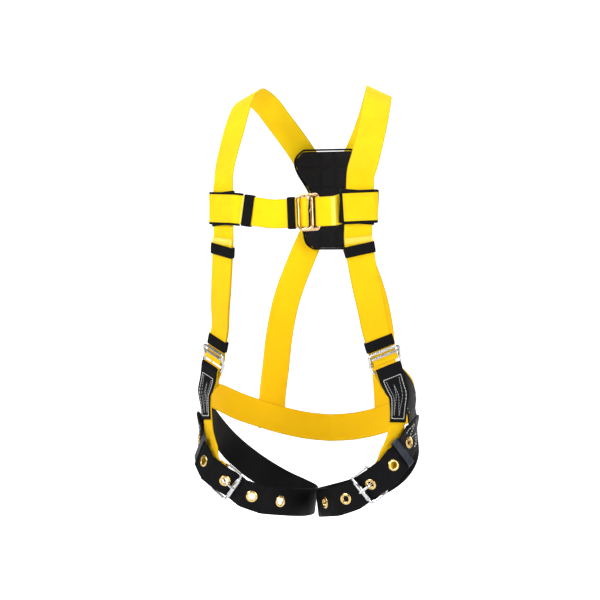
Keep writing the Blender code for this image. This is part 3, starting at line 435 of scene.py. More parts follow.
def chest_path_right():
    """Sewn loop round the sleeve, behind the female bar, round the link's middle bar, back."""
    up = vec(0, 0, 1)
    bar = FRAME_BARS[0]
    back = along_sleeve(-1, [(a, -CHEST_PLY) for a in (22, 6, -14)])
    front = along_sleeve(-1, [(a, CHEST_PLY) for a in (-14, 8, 25)])
    main = [(point, up) for point in OUTER_RUN]
    main += CHEST.path([(a, -CHEST_HALF) for a in (-50, -31, -16.5)])
    main += CHEST.path([(bar, -FOLD - 0.1), (-5.0, -1.4)])
    wrap = CHEST.arc((LINK_BARS[1], LINK_OUT), FOLD, -68, 205, 22.0)
    tail = CHEST.path([(-6.4, 4.7), (bar, FOLD + 0.1)])
    tail += CHEST.path([(a, CHEST_HALF) for a in (-16.5, -31, -50)])
    tail += [(point - vec(0, 2 * CHEST_HALF, 0), up) for point in OUTER_RUN[::-1]]
    return back + sleeve_turn(-1) + front + main + wrap + tail


def chest_path_left():
    """Front end ply, round the female frame's bar, behind the sleeve and round to its front."""
    end = CHEST.path([(47, 1.5), (40, 1.5), (34, 1.5), (27, 2.3)])
    wrap = CHEST.arc((FRAME_BARS[1], 0.0), FOLD, 82, 278, 22.0)
    main = CHEST.path([(27, -2.3), (35, -1.9)])
    main.append((CHEST.at(42, -2.3), unit(CHEST.across + SLEEVE.along)))
    back = along_sleeve(1, [(a, -CHEST_PLY) for a in (22, 4, -14)])
    front = along_sleeve(1, [(a, CHEST_PLY) for a in (-14, 4, 30)])
    return end + wrap + main + back + sleeve_turn(1) + front


INNER_KEEPER = Frame(CHEST.at(-23.3), CHEST.along, CHEST.out)
OUTER_KEEPER = Frame(OUTER_RUN[1] - vec(0, CHEST_HALF, 0), OUTER_RUN[2] - OUTER_RUN[0],
                     (0.0, -1.0, 0.0))


# ------------------------------------------------------------------ leg loop paths
def buckle_path():
    """Inner end, round the adjuster's low bar, down the hip, round the buckle's bar, inner end."""
    inner = ADJUSTER.path([(-46, -1.25), (-38, -1.25), (-27, -2.4)])
    top = ADJUSTER.arc(LOW_BAR, FOLD + 0.1, 262, 458, 24.0)
    front = ADJUSTER.path([(-27, 2.4), (-38, 1.25), (-50, 1.25)])
    down = draping([
        ADJUSTER.station(-50, 1.25), ADJUSTER.station(-60, 1.3),
        hip(-47.0, -166, 1.3), hip(-48.0, -185, 1.3), hip(-48.8, -203, 1.3),
        hip(-49.5, -220, 1.4), hip(-51.0, -234, 2.2), hip(-54.0, -246, 4.4),
        hip(-58.0, -257, 6.6), BUCKLE.station(12, 2.9),
    ], [0, 0, 0.6, 1, 1, 1, 1, 0.6, 0.2])
    turn = BUCKLE.arc((0, 0), FOLD, 80, 280, 22.0)
    under = BUCKLE.path([(9, -3.4), (13.0, -3.5)])
    return same_way(inner + top + front + down[1:] + turn + under, ADJUSTER.across)


ROLLER_R = 4.1
TONGUE_OVER = 6.9                           # height of the leg strap over the tongue's bar
LEG_HEIGHT, SEAT_HEIGHT = -4.6, -8.6        # leg and seat straps against the hip's surface


def leg_strap_path():
    """Hip seam, back of the thigh, crotch, under the roller, over the bar, free end up the hip."""
    ring = draping([
        hip(-50, -118, LEG_HEIGHT), hip(-38, -130, LEG_HEIGHT), hip(-22, -146, LEG_HEIGHT),
        hip(-6, -165, LEG_HEIGHT), hip(7, -184, LEG_HEIGHT),
        (167, 32, -213, 0.96, 0.25, 0.0), (152, 68, -246, 0.78, 0.62, 0.0),
        (118, 98, -281, 0.42, 0.90, 0.0), (76, 108, -306, 0.0, 1.0, 0.0),
        (36, 98, -320, -0.42, 0.90, 0.0), (12, 74, -326, -0.85, 0.52, -0.08),
        (5.5, 44, -327, -0.985, 0.0, -0.15), (8.5, 10, -326, -0.93, -0.30, -0.12),
        (19, -24, -323, -0.78, -0.60, -0.06), (38, -53, -319, -0.60, -0.80, -0.05),
        (66, -75, -314, -0.32, -0.94, -0.08), BUCKLE.station(-BUCKLE_R - 13, -6.0),
    ], [1, 1, 1, 0.9, 0.7, 0.2])
    under_r = ROLLER_R + 0.45 + HALF_T
    lean = math.degrees(math.asin((TONGUE_OVER + under_r) / BUCKLE_R))
    under = BUCKLE.arc((-BUCKLE_R, 0), -under_r, 90, 90 + lean, 12.0)
    over = BUCKLE.arc((0, 0), TONGUE_OVER, 90 + lean, 94, 14.0)
    free = on_surface([
        BUCKLE.station(12, 7.2), BUCKLE.station(28, 9.0),
        hip(-46.0, -243, 15.0), hip(-33.0, -229, 10.0), hip(-21.0, -215.5, 8.4),
        hip(-9.0, -202.5, 7.0), hip(2.0, -190.5, 6.0),
    ])
    return same_way(ring + under + over + free, ring[0][1])


LEG_PATH = leg_strap_path()

# The middle hole sits on the sloping run between roller and tongue bar.
HOLE_ALONG = -12.2      # its place along the buckle
UNDER_ROLLER = 5.4      # depth of the run at the roller, for finding its zero
RUN_SLOPE = 0.449
HOLE_OUT = (HOLE_ALONG + BUCKLE_R * TONGUE_OVER / (UNDER_ROLLER + TONGUE_OVER)) * RUN_SLOPE
leg_points = refine(LEG_PATH, 1.0)[0]
MIDDLE_HOLE = run_lengths(leg_points)[nearest(leg_points, BUCKLE.at(HOLE_ALONG, HOLE_OUT))]
HOLES = [MIDDLE_HOLE + k * HOLE_PITCH for k in (-2, -1, 0, 1, 2)]
LEG_KEEPER_AT = MIDDLE_HOLE + 1.5 * HOLE_PITCH


def flat_span(middle, half, margin):
    return middle - half, middle + half, margin


# The strap lies flat round each hole and under the keeper.
LEG_FLATS = [flat_span(hole, 14.2, 4.8) for hole in HOLES if hole != MIDDLE_HOLE]
LEG_FLATS += [flat_span(MIDDLE_HOLE, 9.0, 2.0), flat_span(LEG_KEEPER_AT, 10.0, 1.5)]
LEG_FLATS.sort()
leg_points, leg_across, _ = refine(LEG_PATH, 14.0, LEG_FLATS)
leg_dist = run_lengths(leg_points)


def eyelet_frame(hole):
    """On the straight span of the leg strap round a hole, facing away from the thigh."""
    def miss(i):
        short = leg_dist[i + 1] - leg_dist[i] <= 10
        return abs((leg_dist[i] + leg_dist[i + 1]) / 2 - hole) + (50 if short else 0)

    k = min(range(len(leg_dist) - 1), key=miss)
    origin = (leg_points[k] + leg_points[k + 1]) / 2
    along = unit(leg_points[k + 1] - leg_points[k])
    out = np.cross(along, leg_across[k] + leg_across[k + 1])
    away = origin - vec(92, 14, origin[2])
    return Frame(origin, along, out if out @ away > 0 else -out)


EYELETS = [eyelet_frame(hole) for hole in HOLES]
LEG_KEEPER = frame_on(leg_points, leg_across, LEG_KEEPER_AT)
LEG_KEEPER = Frame(LEG_KEEPER.origin, LEG_KEEPER.along,
                   LEG_KEEPER.out * (1 if LEG_KEEPER.out[0] > 0 else -1))
NOTCH = 3.6             # half width of the slot in the buckle strap that clears the tongue

PATCH_R = 6.2           # the patch covers the fold of the buckle strap round the low bar
PATCH_PATH = ADJUSTER.arc(LOW_BAR, PATCH_R, 45, 90, 15.0)
PATCH_PATH += ADJUSTER.path([(-25, 5.3), (-31, 4.7), (-38, 4.05), (-50, 4.0), (-60, 4.1)])
PATCH_PATH += same_way(draping([hip(-47, -166, 4.3), hip(-47.6, -177, 4.3), hip(-48.2, -190, 4.3)],
                               [0.6, 0.8, 1.0]), ADJUSTER.across)

# Sub-pelvic strap, from inside the hip junction to the middle of the seat.
SEAT_PATH = draping([
    hip(-52, -116, SEAT_HEIGHT), hip(-38, -126, SEAT_HEIGHT), hip(-22, -137, SEAT_HEIGHT),
    hip(-6, -147, SEAT_HEIGHT), hip(8, -153, SEAT_HEIGHT),
    (159, 38, -163, 0.84, 0.54, 0.0), (141, 73, -177, 0.66, 0.75, 0.0),
    (112, 100, -190, 0.42, 0.90, 0.0), (76, 117, -202, 0.20, 0.98, 0.0),
    (38, 126, -210, 0.06, 1.0, 0.0), (0, 129, -213, 0.0, 1.0, 0.0),
], [1, 1, 1, 1, 1, 0.3])
SEAT_PATH = same_way(SEAT_PATH, SEAT_PATH[0][1])

# ------------------------------------------------------------------ dorsal pad and guides
# Height over the ring's bar, full width.
PAD_WIDTHS = [(-80, 52), (-72, 78), (-46, 88), (-26, 78), (-13, 64), (13, 64), (26, 80),
              (44, 104), (60, 116), (72, 112), (84, 84)]
PAD_LOW, PAD_HIGH = PAD_WIDTHS[0][0], PAD_WIDTHS[-1][0]
PAD_FACE = 116.2        # outer face of the pad, clear of the ring's bar as it turns
PAD_CROWN = 1.8         # rise of the outer face from its rim


def pad_half(height):
    return float(np.interp(height, *zip(*PAD_WIDTHS))) / 2


def pad_depth(height):
    """Y of the pad's rim plane, bent forward near the top."""
    return PAD_FACE - PAD_CROWN - (0.0 if height < 28 else 0.0022 * (height - 28) ** 2)


def guide_frames():
    points, across, _ = refine(on_surface(TORSO))
    middle = run_lengths(points)[nearest(points, CROSSING)]
    out = []
    for side, sign in SIDES:
        for level, above in (("upper", 52.0), ("lower", -53.0)):
            on = frame_on(points, across, middle - above)
            on.origin = on.origin + vec(0, CROSS_LIFT * sign, 0)
            out.append((f"dorsal_guide_{level}_{side}", on, sign))
    return out


# ------------------------------------------------------------------ shader building
class Value:
    """A shader output; arithmetic on it adds Math nodes."""

    def __init__(self, shader, socket):
        self.shader, self.socket = shader, socket

    def math(self, operation, other=0.0, clamp=False):
        return self.shader.math(operation, self, other, clamp)

    def __add__(self, other):
        return self.math("ADD", other)

    def __mul__(self, other):
        return self.math("MULTIPLY", other)

    def __truediv__(self, other):
        return self.math("DIVIDE", other)

    def __rsub__(self, other):
        return self.shader.math("SUBTRACT", other, self)

    def humps(self):
        """A half sine wave over every unit."""
        return (self.math("FRACT") * math.pi).math("SINE")

    def span(self, start, end, low=0.0, high=1.0):
        """Smooth change from low to high as the value goes from start to end."""
        node = self.shader.node("MapRange", interpolation_type="SMOOTHSTEP")
        for key, value in enumerate((self, start, end, low, high)):
            self.shader.put(node, key, value)
        return Value(self.shader, node.outputs[0])


class Shader:
    """A node tree with short ways to add nodes."""

    def __init__(self, tree):
        self.tree = tree

    def node(self, kind, **settings):
        node = self.tree.nodes.new("ShaderNode" + kind)
        for key, value in settings.items():
            setattr(node, key, value)
        return node

    def put(self, node, key, value):
        if isinstance(value, Value):
            self.tree.links.new(value.socket, node.inputs[key])
        else:
            node.inputs[key].default_value = value

    def principled(self, inputs):
        for key, value in inputs.items():
            self.put(self.tree.nodes["Principled BSDF"], key, value)

    def math(self, operation, first, second, clamp=False):
        node = self.node("Math", operation=operation, use_clamp=clamp)
        for key, value in enumerate((first, second, 0.0)):
            self.put(node, key, value)
        return Value(self, node.outputs[0])

    def mix(self, factor, low, high):
        node = self.node("Mix", data_type="RGBA")
        self.put(node, 0, factor)
        for key, colour in ((6, low), (7, high)):
            self.put(node, key, colour if isinstance(colour, Value) else (*colour, 1.0))
        return Value(self, node.outputs[2])

    def noise(self, scale, detail=2.0, roughness=0.5, stretch=None):
        node = self.node("TexNoise")
        self.put(node, "Scale", scale)
        self.put(node, "Detail", detail)
        self.put(node, "Roughness", roughness)
        vector = self.node("TexCoord").outputs["Object"]
        if stretch:
            mapping = self.node("Mapping")
            mapping.inputs["Scale"].default_value = stretch
            self.tree.links.new(vector, mapping.inputs["Vector"])
            vector = mapping.outputs[0]
        self.tree.links.new(vector, node.inputs["Vector"])
        return Value(self, node.outputs[0])

    def bump(self, height, distance, strength, normal=None):
        node = self.node("Bump")
        self.put(node, "Distance", distance)
        self.put(node, "Strength", strength)
        self.put(node, "Height", height)
        if normal:
            self.put(node, "Normal", normal)
        return Value(self, node.outputs[0])

    def parts(self, socket):
        """The x, y and z of a vector output."""
        node = self.node("SeparateXYZ")
        self.tree.links.new(socket, node.inputs[0])
        return [Value(self, output) for output in node.outputs]

    def strap_uv(self):
        """Along and across a cloth, in centimetres."""
        return self.parts(self.node("UVMap", uv_map="UVMap").outputs[0])[:2]


def new_material(name):
    material = bpy.data.materials.new(name)
    material.use_nodes = True
    return material, Shader(material.node_tree)


# ------------------------------------------------------------------ materials
def webbing(name, colour, deep, edge=0.35, sheen=0.06, rough=0.72, tone_and_shade_tint=None, gloss=0.16):
    """Woven polyester: lengthwise ribs of stepped picks, with painted shade in the grooves of the weave
    and along both edges.
    """
    rib, pick = 0.17, 0.13      # rib width and pick length, cm
    material, sh = new_material(name)
    along, across = sh.strap_uv()
    from_middle = across.math("ABSOLUTE")
    column = from_middle / rib
    whole = column.math("FLOOR")
    hump = column.humps()
    dash = (along / pick + whole * 0.25).humps()
    height = hump * 0.45 + hump * dash * 0.55
    broad = sh.noise(scale=34.0, detail=3.0, roughness=0.55)
    fibre = sh.noise(scale=900.0, roughness=0.6)
    # painted shade: the colour darkens into the grooves of the weave, mixed with random tone from the
    # broad and fibre noise
    groove_shade_and_tone = height * 0.5 + broad.span(0.3, 0.7) * 0.34
    base = sh.mix(groove_shade_and_tone.math("ADD", fibre * 0.22, clamp=True), deep, colour)
    if tone_and_shade_tint:                    # warmer in broad patches, a random tone; the warmer, darker colour towards the legs is painted shade
        patches = sh.noise(scale=7.0).span(0.45, 0.75, low=0.0, high=0.35)
        base = sh.mix(patches, base, tone_and_shade_tint)
        # painted shade: darker orange lower down, by height over the origin
        painted_shade_z = sh.parts(sh.node("TexCoord").outputs["Object"])[2]
        base = sh.mix(painted_shade_z.span(0.08, -0.16, low=0.0, high=0.75), base, tone_and_shade_tint)
    # painted shade along both edges of the strap, as if they lay in shadow; edge sets how dark
    painted_edge_shade = from_middle.span(2.02, 2.24) * edge
    fine = sh.bump(fibre, distance=0.00006, strength=0.5)
    sh.principled({
        "Base Color": sh.mix(painted_edge_shade, base, tuple(c * 0.25 for c in deep)),
        "Roughness": height.span(0.0, 1.0, low=rough + 0.14, high=rough - 0.08),
        "Sheen Weight": sheen,
        "Sheen Roughness": 0.45,
        "Specular IOR Level": gloss,
        "Normal": sh.bump(height, distance=0.00028, strength=0.8, normal=fine),
    })
    return material


def elastic(name, colour, deep):
    """Knitted elastic: cords one way with a fine knit the other."""
    cord_pitch, knit_pitch = 0.13, 0.09
    material, sh = new_material(name)
    along, across = sh.strap_uv()
    height = (across / cord_pitch).humps() * 0.7 + (along / knit_pitch).humps() * 0.3
    # painted shade: darker in the grooves between cords and knit, mixed with random tone from the noise
    groove_shade_and_tone = (height * 0.7).math("ADD", sh.noise(scale=60.0) * 0.4, clamp=True)
    sh.principled({
        "Base Color": sh.mix(groove_shade_and_tone, deep, colour),
        "Roughness": height.span(0, 1, low=0.9, high=0.62),
        "Specular IOR Level": 0.12,
        "Normal": sh.bump(height, distance=0.0003, strength=0.8),
    })
    return material


def nylon(name, colour, deep):
    """Coarse plain-woven nylon."""
    cell = 0.16
    material, sh = new_material(name)
    along, across = sh.strap_uv()
    column, row = along / cell, across / cell
    odd = ((column.math("FLOOR") + row.math("FLOOR")) * 0.5).math("FRACT")
    over = odd.math("GREATER_THAN", 0.25)
    height = column.humps() * over + row.humps() * (1.0 - over)
    # painted shade: darker in the grooves of the weave, mixed with random tone from the noise
    groove_shade_and_tone = (height * 0.6).math("ADD", sh.noise(scale=40.0, detail=3.0) * 0.5, clamp=True)
    sh.principled({
        "Base Color": sh.mix(groove_shade_and_tone, deep, colour),
        "Roughness": height.span(0, 1, low=0.85, high=0.58),
        "Specular IOR Level": 0.14,
        "Normal": sh.bump(height, distance=0.00022, strength=0.7),
    })
    return material


def metal(name, colour, dull, rough, scratch=0.00002):
    """Plated metal: clouded plate, fine handling scratches and a duller tone where rubbed."""
    material, sh = new_material(name)
    cloud = sh.noise(scale=120.0, detail=4.0, roughness=0.6)
    scores = sh.noise(scale=700.0, detail=3.0, roughness=0.6, stretch=(1.0, 1.0, 0.08))
    sh.principled({
        "Base Color": sh.mix(cloud.span(0.42, 0.72), colour, dull),
        "Metallic": 1.0,
        "Roughness": (cloud * 0.6 + scores * 0.4).span(0.3, 0.7, *rough),
        "Normal": sh.bump(scores, distance=scratch, strength=0.6),
    })
    return material


def plastic(name, colour, rough=0.42):
    material, sh = new_material(name)
    grain = sh.noise(scale=1600.0, roughness=0.6)
    patch = sh.noise(scale=60.0, detail=3.0)
    sh.principled({
        "Base Color": sh.mix(patch, colour, tuple(c * 1.9 + 0.004 for c in colour)),
        "Roughness": patch.span(0.3, 0.7, low=rough - 0.08, high=rough + 0.1),
        "Normal": sh.bump(grain, distance=0.00005, strength=0.6),
    })
    return material


def thread(name, colour):
    material, sh = new_material(name)
    twist = sh.noise(scale=2200.0, detail=1.0)
    sh.principled({
        "Base Color": sh.mix(twist, tuple(c * 0.65 for c in colour), colour),
        "Roughness": 0.7,
        "Sheen Weight": 0.2,
        "Normal": sh.bump(twist, distance=0.0001, strength=0.6),
    })
    return material


YELLOW_WEB = webbing("yellow_woven", colour=(1.0, 0.76, 0.004), deep=(0.97, 0.60, 0.0),
                     tone_and_shade_tint=(1.0, 0.56, 0.0))
# The hem's lighter yellow is a painted highlight: the folded end catching light.
YELLOW_HEM_HIGHLIGHT = webbing("yellow_hem_highlight", colour=(1.0, 0.83, 0.16), deep=(0.96, 0.66, 0.04), edge=0.2)
BLACK_WEB = webbing("black_woven", colour=(0.0034, 0.0037, 0.0054), deep=(0.0008, 0.0008, 0.0012),
                    edge=0.3, sheen=0.0, rough=0.52, gloss=0.12)
NEAR_BLACK, BLACK = (0.005, 0.005, 0.006), (0.001, 0.001, 0.001)
ELASTIC = elastic("black_elastic_knit", NEAR_BLACK, BLACK)
SLEEVE_CLOTH = nylon("black_sleeve_cloth", NEAR_BLACK, BLACK)
PAD_CLOTH = nylon("black_pad_cloth", colour=(0.009, 0.009, 0.011), deep=(0.002, 0.002, 0.003))
BINDING = elastic("black_binding", (0.006, 0.006, 0.007), BLACK)
GOLD = metal("gold_plate", colour=(0.92, 0.66, 0.38), dull=(0.66, 0.42, 0.20), rough=(0.10, 0.26))
STEEL = metal("bright_plate", colour=(0.74, 0.75, 0.77), dull=(0.50, 0.51, 0.53),
              rough=(0.07, 0.22))
FORGED = metal("forged_plate", colour=(0.80, 0.80, 0.80), dull=(0.60, 0.60, 0.61),
               rough=(0.2, 0.42), scratch=0.00004)
BRASS = metal("polished_brass", colour=(0.92, 0.68, 0.28), dull=(0.66, 0.42, 0.12),
              rough=(0.12, 0.30))
PLASTIC = plastic("black_moulding", (0.012, 0.012, 0.014))
KEEPER_PLASTIC = plastic("blue_grey_moulding", (0.020, 0.024, 0.034), rough=0.28)
WHITE_THREAD = thread("pale_thread", (0.86, 0.86, 0.84))
GREY_THREAD = thread("grey_thread", (0.42, 0.42, 0.43))
BLACK_THREAD = thread("black_thread", (0.018, 0.018, 0.02))
YELLOW_THREAD = thread("yellow_thread", (0.98, 0.66, 0.02))


# ------------------------------------------------------------------ meshes
def finish_mesh(name, verts, faces, corners, materials, sign=1, index=None, smooth=42.0):
    """Object from verts in mm in the wearer's frame; corners has one (u, v) in cm per corner."""
    mesh = bpy.data.meshes.new(name)
    mesh.from_pydata(((mirrored(verts, sign) - ORIGIN) / 1000.0).tolist(), [], faces)
    layer = mesh.uv_layers.new(name="UVMap")
    layer.data.foreach_set("uv", np.asarray(corners, np.float32).ravel())
    for material in materials:
        mesh.materials.append(material)
    if index is not None:
        mesh.polygons.foreach_set("material_index", np.asarray(index, np.int32))
    bm = bmesh.new()
    bm.from_mesh(mesh)
    bmesh.ops.recalc_face_normals(bm, faces=bm.faces)
    bm.to_mesh(mesh)
    bm.free()
    mesh.shade_smooth()
    mesh.set_sharp_from_angle(angle=math.radians(smooth))
    mesh.update()
    obj = bpy.data.objects.new(name, mesh)
    bpy.context.scene.collection.objects.link(obj)
    return obj


def skin(rings, closed, along=None, around=None):
    """Vertices, faces and corner UVs of a stack of rings (count, size, 3); ends are capped."""
    rings = np.asarray(rings, float)
    count, size, _ = rings.shape
    if along is None:
        middle = rings.mean(axis=1)
        along = run_lengths(np.concatenate([middle, middle[:1]]) if closed else middle) / 10
        around = run_lengths(np.concatenate([rings[0], rings[0][:1]])) / 10
    faces, corners = [], []
    for i in range(count if closed else count - 1):
        j = (i + 1) % count
        for k in range(size):
            m = (k + 1) % size
            faces.append((i * size + k, i * size + m, j * size + m, j * size + k))
            corners += [(along[i], around[k]), (along[i], around[k + 1]),
                        (along[i + 1], around[k + 1]), (along[i + 1], around[k])]
    if not closed:
        for i in (0, count - 1):
            faces.append(tuple(i * size + k for k in range(size)))
            corners += [(along[i], around[k]) for k in range(size)]
    return rings.reshape(-1, 3), faces, corners


def solid(name, rings, closed, material, sign=1, smooth=42.0):
    return finish_mesh(name, *skin(rings, closed), [material], sign, smooth=smooth)


def transport(points, section, first_axis, closed=True, scale=None):
    """Rings of a section [(a, b)] carried along points without twist."""
    points = np.asarray(points, float)
    if closed:
        along = np.roll(points, -1, 0) - np.roll(points, 1, 0)
        along /= np.linalg.norm(along, axis=1)[:, None]
    else:
        along = tangents(points)
    axis = np.asarray(first_axis, float)
    axis = unit(axis - along[0] * (axis @ along[0]))
    section = np.asarray(section, float)
    rings = np.zeros((len(points), len(section), 3))
    for i, point in enumerate(points):
        if i:
            hinge = np.cross(along[i - 1], along[i])
            sine, cosine = np.linalg.norm(hinge), along[i - 1] @ along[i]
            if sine > 1e-9:
                hinge = hinge / sine
                axis = (axis * cosine + np.cross(hinge, axis) * sine
                        + hinge * (hinge @ axis) * (1 - cosine))
            axis = unit(axis - along[i] * (axis @ along[i]))
        size = 1.0 if scale is None else scale[i]
        ring = section[:, :1] * axis + section[:, 1:] * np.cross(along[i], axis)
        rings[i] = point + ring * size
    return rings


def settle(obj, node=None, body=None):
    """obj rides on the body of its CAD node and stands for it."""
    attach(obj, body or BODY[node])
    if node:
        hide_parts(node)


def mesh_of(obj):
    graph = bpy.context.evaluated_depsgraph_get()
    return bpy.data.meshes.new_from_object(obj.evaluated_get(graph), depsgraph=graph)


def modified_mesh(obj):
    """Mesh with the modifiers applied; the modifiers are taken off."""
    bpy.context.view_layer.update()
    mesh = mesh_of(obj)
    obj.modifiers.clear()
    return mesh


def boolean(obj, operation, tools):
    for tool in tools:
        modifier = obj.modifiers.new("boolean", "BOOLEAN")
        modifier.operation = operation
        modifier.solver = "EXACT"
        modifier.object = tool
    mesh = modified_mesh(obj)
    if len(mesh.polygons) > 8:      # keeps the plain mesh if the boolean comes out empty
        obj.data = mesh
    for tool in tools:
        bpy.data.objects.remove(tool, do_unlink=True)


def unite(obj, tool):
    boolean(obj, "UNION", [tool])
    obj.data.set_sharp_from_angle(angle=math.radians(42))


def block(name, on, outline, low, high, material, sign):
    """Outline [(across, along)] raised from low to high out."""
    rings = [[on.at(along, out, across) for across, along in outline] for out in (low, high)]
    return solid(name, rings, False, material, sign)


def get_points(mesh):
    points = np.zeros(len(mesh.vertices) * 3, np.float32)
    mesh.vertices.foreach_get("co", points)
    return points.reshape(-1, 3)


def set_points(mesh, points):
    mesh.vertices.foreach_set("co", points.ravel().astype(np.float32))


# ------------------------------------------------------------------ straps
# Columns of a strap: place across, -1 to 1, and fullness there.
ACROSS = np.array([-1, -0.988, -0.955, -0.88, -0.66, -0.33, 0, 0.33, 0.66, 0.88, 0.955, 0.988, 1])
FULLNESS = np.array([0, 0.62, 0.92, 1.03, 1, 1, 1, 1, 1, 1.03, 0.92, 0.62, 0])
STRAP_RING = 2 * len(ACROSS) - 2        # vertices round a strap


def blend_at(knots, value):
    """Index and share of value between two knots."""
    i = int(np.clip(np.searchsorted(knots, value) - 1, 0, len(knots) - 2))
    return i, (value - knots[i]) / (knots[i + 1] - knots[i])


class Strap:
    """A strap's middle surface at fine steps; places are (dist along, side across), in mm.

    straight: spans made straight. calm: rounds of smoothing, but not inside the guard spans.
    gather(dist, side, point, across) gives the side again; lift(dist, side) bends it outward.
    """

    def __init__(self, path, step=3.0, straight=(), calm=3, guard=(), lift=None, gather=None):
        points, across, drape = refine(path, step, straight, fine=True)
        dist = run_lengths(points)
        free = np.ones(len(points), bool)
        for start, end in guard:
            free &= ~((dist > start) & (dist < end))
        for _ in range(calm):
            points[free] = relax(points, 1, False)[free]
        across = squared(across, tangents(points))
        self.points = points
        self.dist = run_lengths(points)
        self.length = self.dist[-1]
        self.grid = np.zeros((len(points), len(ACROSS), 3))
        for i, centre in enumerate(points):
            for j, ratio in enumerate(ACROSS):
                side = ratio * HALF_W
                if gather:
                    side = gather(self.dist[i], side, centre, across[i])
                point = centre + across[i] * side
                if drape[i] > 0:
                    point = point * (1 - drape[i]) + draped(point, centre) * drape[i]
                self.grid[i, j] = point
        self.normals = self.find_normals()
        if lift:
            rise = np.array([[lift(s, ratio * HALF_W) for ratio in ACROSS] for s in self.dist])
            self.grid = self.grid + self.normals * rise[:, :, None]
            self.normals = self.find_normals()

    def find_normals(self):
        normals = np.cross(np.gradient(self.grid, axis=0), np.gradient(self.grid, ACROSS, axis=1))
        return normals / np.linalg.norm(normals, axis=2)[:, :, None]

    def at(self, dist, side, height=0.0):
        """Point height mm off the middle surface, on the along x across side."""
        i, u = blend_at(self.dist, dist)
        j, v = blend_at(ACROSS, side / HALF_W)

        def blend(grid):
            return ((grid[i, j] * (1 - u) + grid[i + 1, j] * u) * (1 - v)
                    + (grid[i, j + 1] * (1 - u) + grid[i + 1, j + 1] * u) * v)

        return blend(self.grid) + unit(blend(self.normals)) * height

    def near(self, point):
        return self.dist[nearest(self.points, point)]

    def facing(self, dist, direction):
        """+1 if the strap's upper face looks towards direction at dist, else -1."""
        normal = self.at(dist, 0, 1) - self.at(dist, 0, 0)
        return 1 if normal @ np.asarray(direction) > 0 else -1

    def mesh(self, name, materials, sign=1, hem=None):
        """hem: (start, end, extra thickness, face +1 or -1), in the second material."""
        dist = self.dist
        top = np.repeat((FULLNESS * HALF_T)[None, :], len(dist), axis=0)
        low = -top
        start, end = 1.0, 0.0
        if hem:
            start, end, extra, face = hem
            share = np.clip(np.minimum(dist - start, end - dist) / 1.2 + 0.5, 0, 1)
            share = np.where((dist <= start + 1.2) & (start < 1), 1.0, share)
            share = np.where((dist >= end - 1.2) & (end > self.length - 1), 1.0, share)
            swell = share[:, None] * extra * FULLNESS[None, :].clip(0, 1)
            if face > 0:
                top = top + swell
            else:
                low = low - swell
        upper = self.grid + self.normals * top[:, :, None]
        lower = self.grid + self.normals * low[:, :, None]
        rings = np.concatenate([upper, lower[:, -2:0:-1]], axis=1)
        around = np.concatenate([ACROSS, ACROSS[-2::-1]]) * HALF_W / 10
        middles = (dist[:-1] + dist[1:]) / 2
        index = np.repeat((middles >= start) & (middles <= end), STRAP_RING)
        caps = [bool(hem) and start - 1 <= s <= end + 1 for s in (dist[0], dist[-1])]
        shape = skin(rings, False, dist / 10, around)
        return finish_mesh(name, *shape, materials, sign, np.concatenate([index, caps]))


def shade_line_piping(name, strap, route, half_width=2.4, closed=False):
    """A black bound edge along a route of (dist, side) on a strap, laid where dark shade lines fall:
    painted shade.
    """
    points = []
    for start, end in zip(route, route[1:]):
        start, end = vec(*start), vec(*end)
        parts = max(2, int(math.hypot(*(end - start)) / 1.6))
        points += [strap.at(*(start + (end - start) * k / parts)) for k in range(parts)]
    if not closed:
        points.append(strap.at(*route[-1]))
    up = strap.at(*route[0], 1) - strap.at(*route[0])
    rings = transport(relax(points, 2, closed), oval(1.5, half_width, 14, 2.4), up, closed)
    obj = solid(name, rings, closed, BINDING, smooth=60)
    settle(obj, None, "webbing")


STITCH = ((0.0, 0.45), (0.12, 0.85), (0.35, 1.0), (0.65, 1.0), (0.88, 0.85), (1.0, 0.45))


def stitching(name, strap, routes, material, sign=1, face=1, pitch=4.2, length=3.0, radius=0.42,
              body="webbing", base=HALF_T, slot="yellow_webbing"):
    """Rows of raised stitches over a strap; routes are polylines of (dist, side).

    STITCH gives each stitch's (share of length, share of radius).
    """
    verts, faces, corners = [], [], []
    height = base * face
    for route in routes:
        route = np.asarray(route, float)
        lengths = run_lengths(route)
        count = max(1, int(lengths[-1] // pitch))
        gap = lengths[-1] / count
        for q in range(count):
            line = []
            for share, _ in STITCH:
                along = q * gap + (gap - length) / 2 + length * share
                spot = [np.interp(along, lengths, column) for column in route.T]
                rise = radius * (1.15 * math.sin(math.pi * share) - 0.45)
                line.append(strap.at(*spot, height + face * rise))
            up = strap.at(*spot, height + 1) - strap.at(*spot, height)
            rings = transport(line, oval(radius, radius, 6), up, closed=False,
                              scale=[size for _, size in STITCH])
            points, quads, uvs = skin(rings, False)
            first = len(verts)
            verts += list(points)
            faces += [tuple(i + first for i in quad) for quad in quads]
            corners += uvs
    obj = finish_mesh(name, verts, faces, corners, [material], sign, smooth=60)
    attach(obj, body)


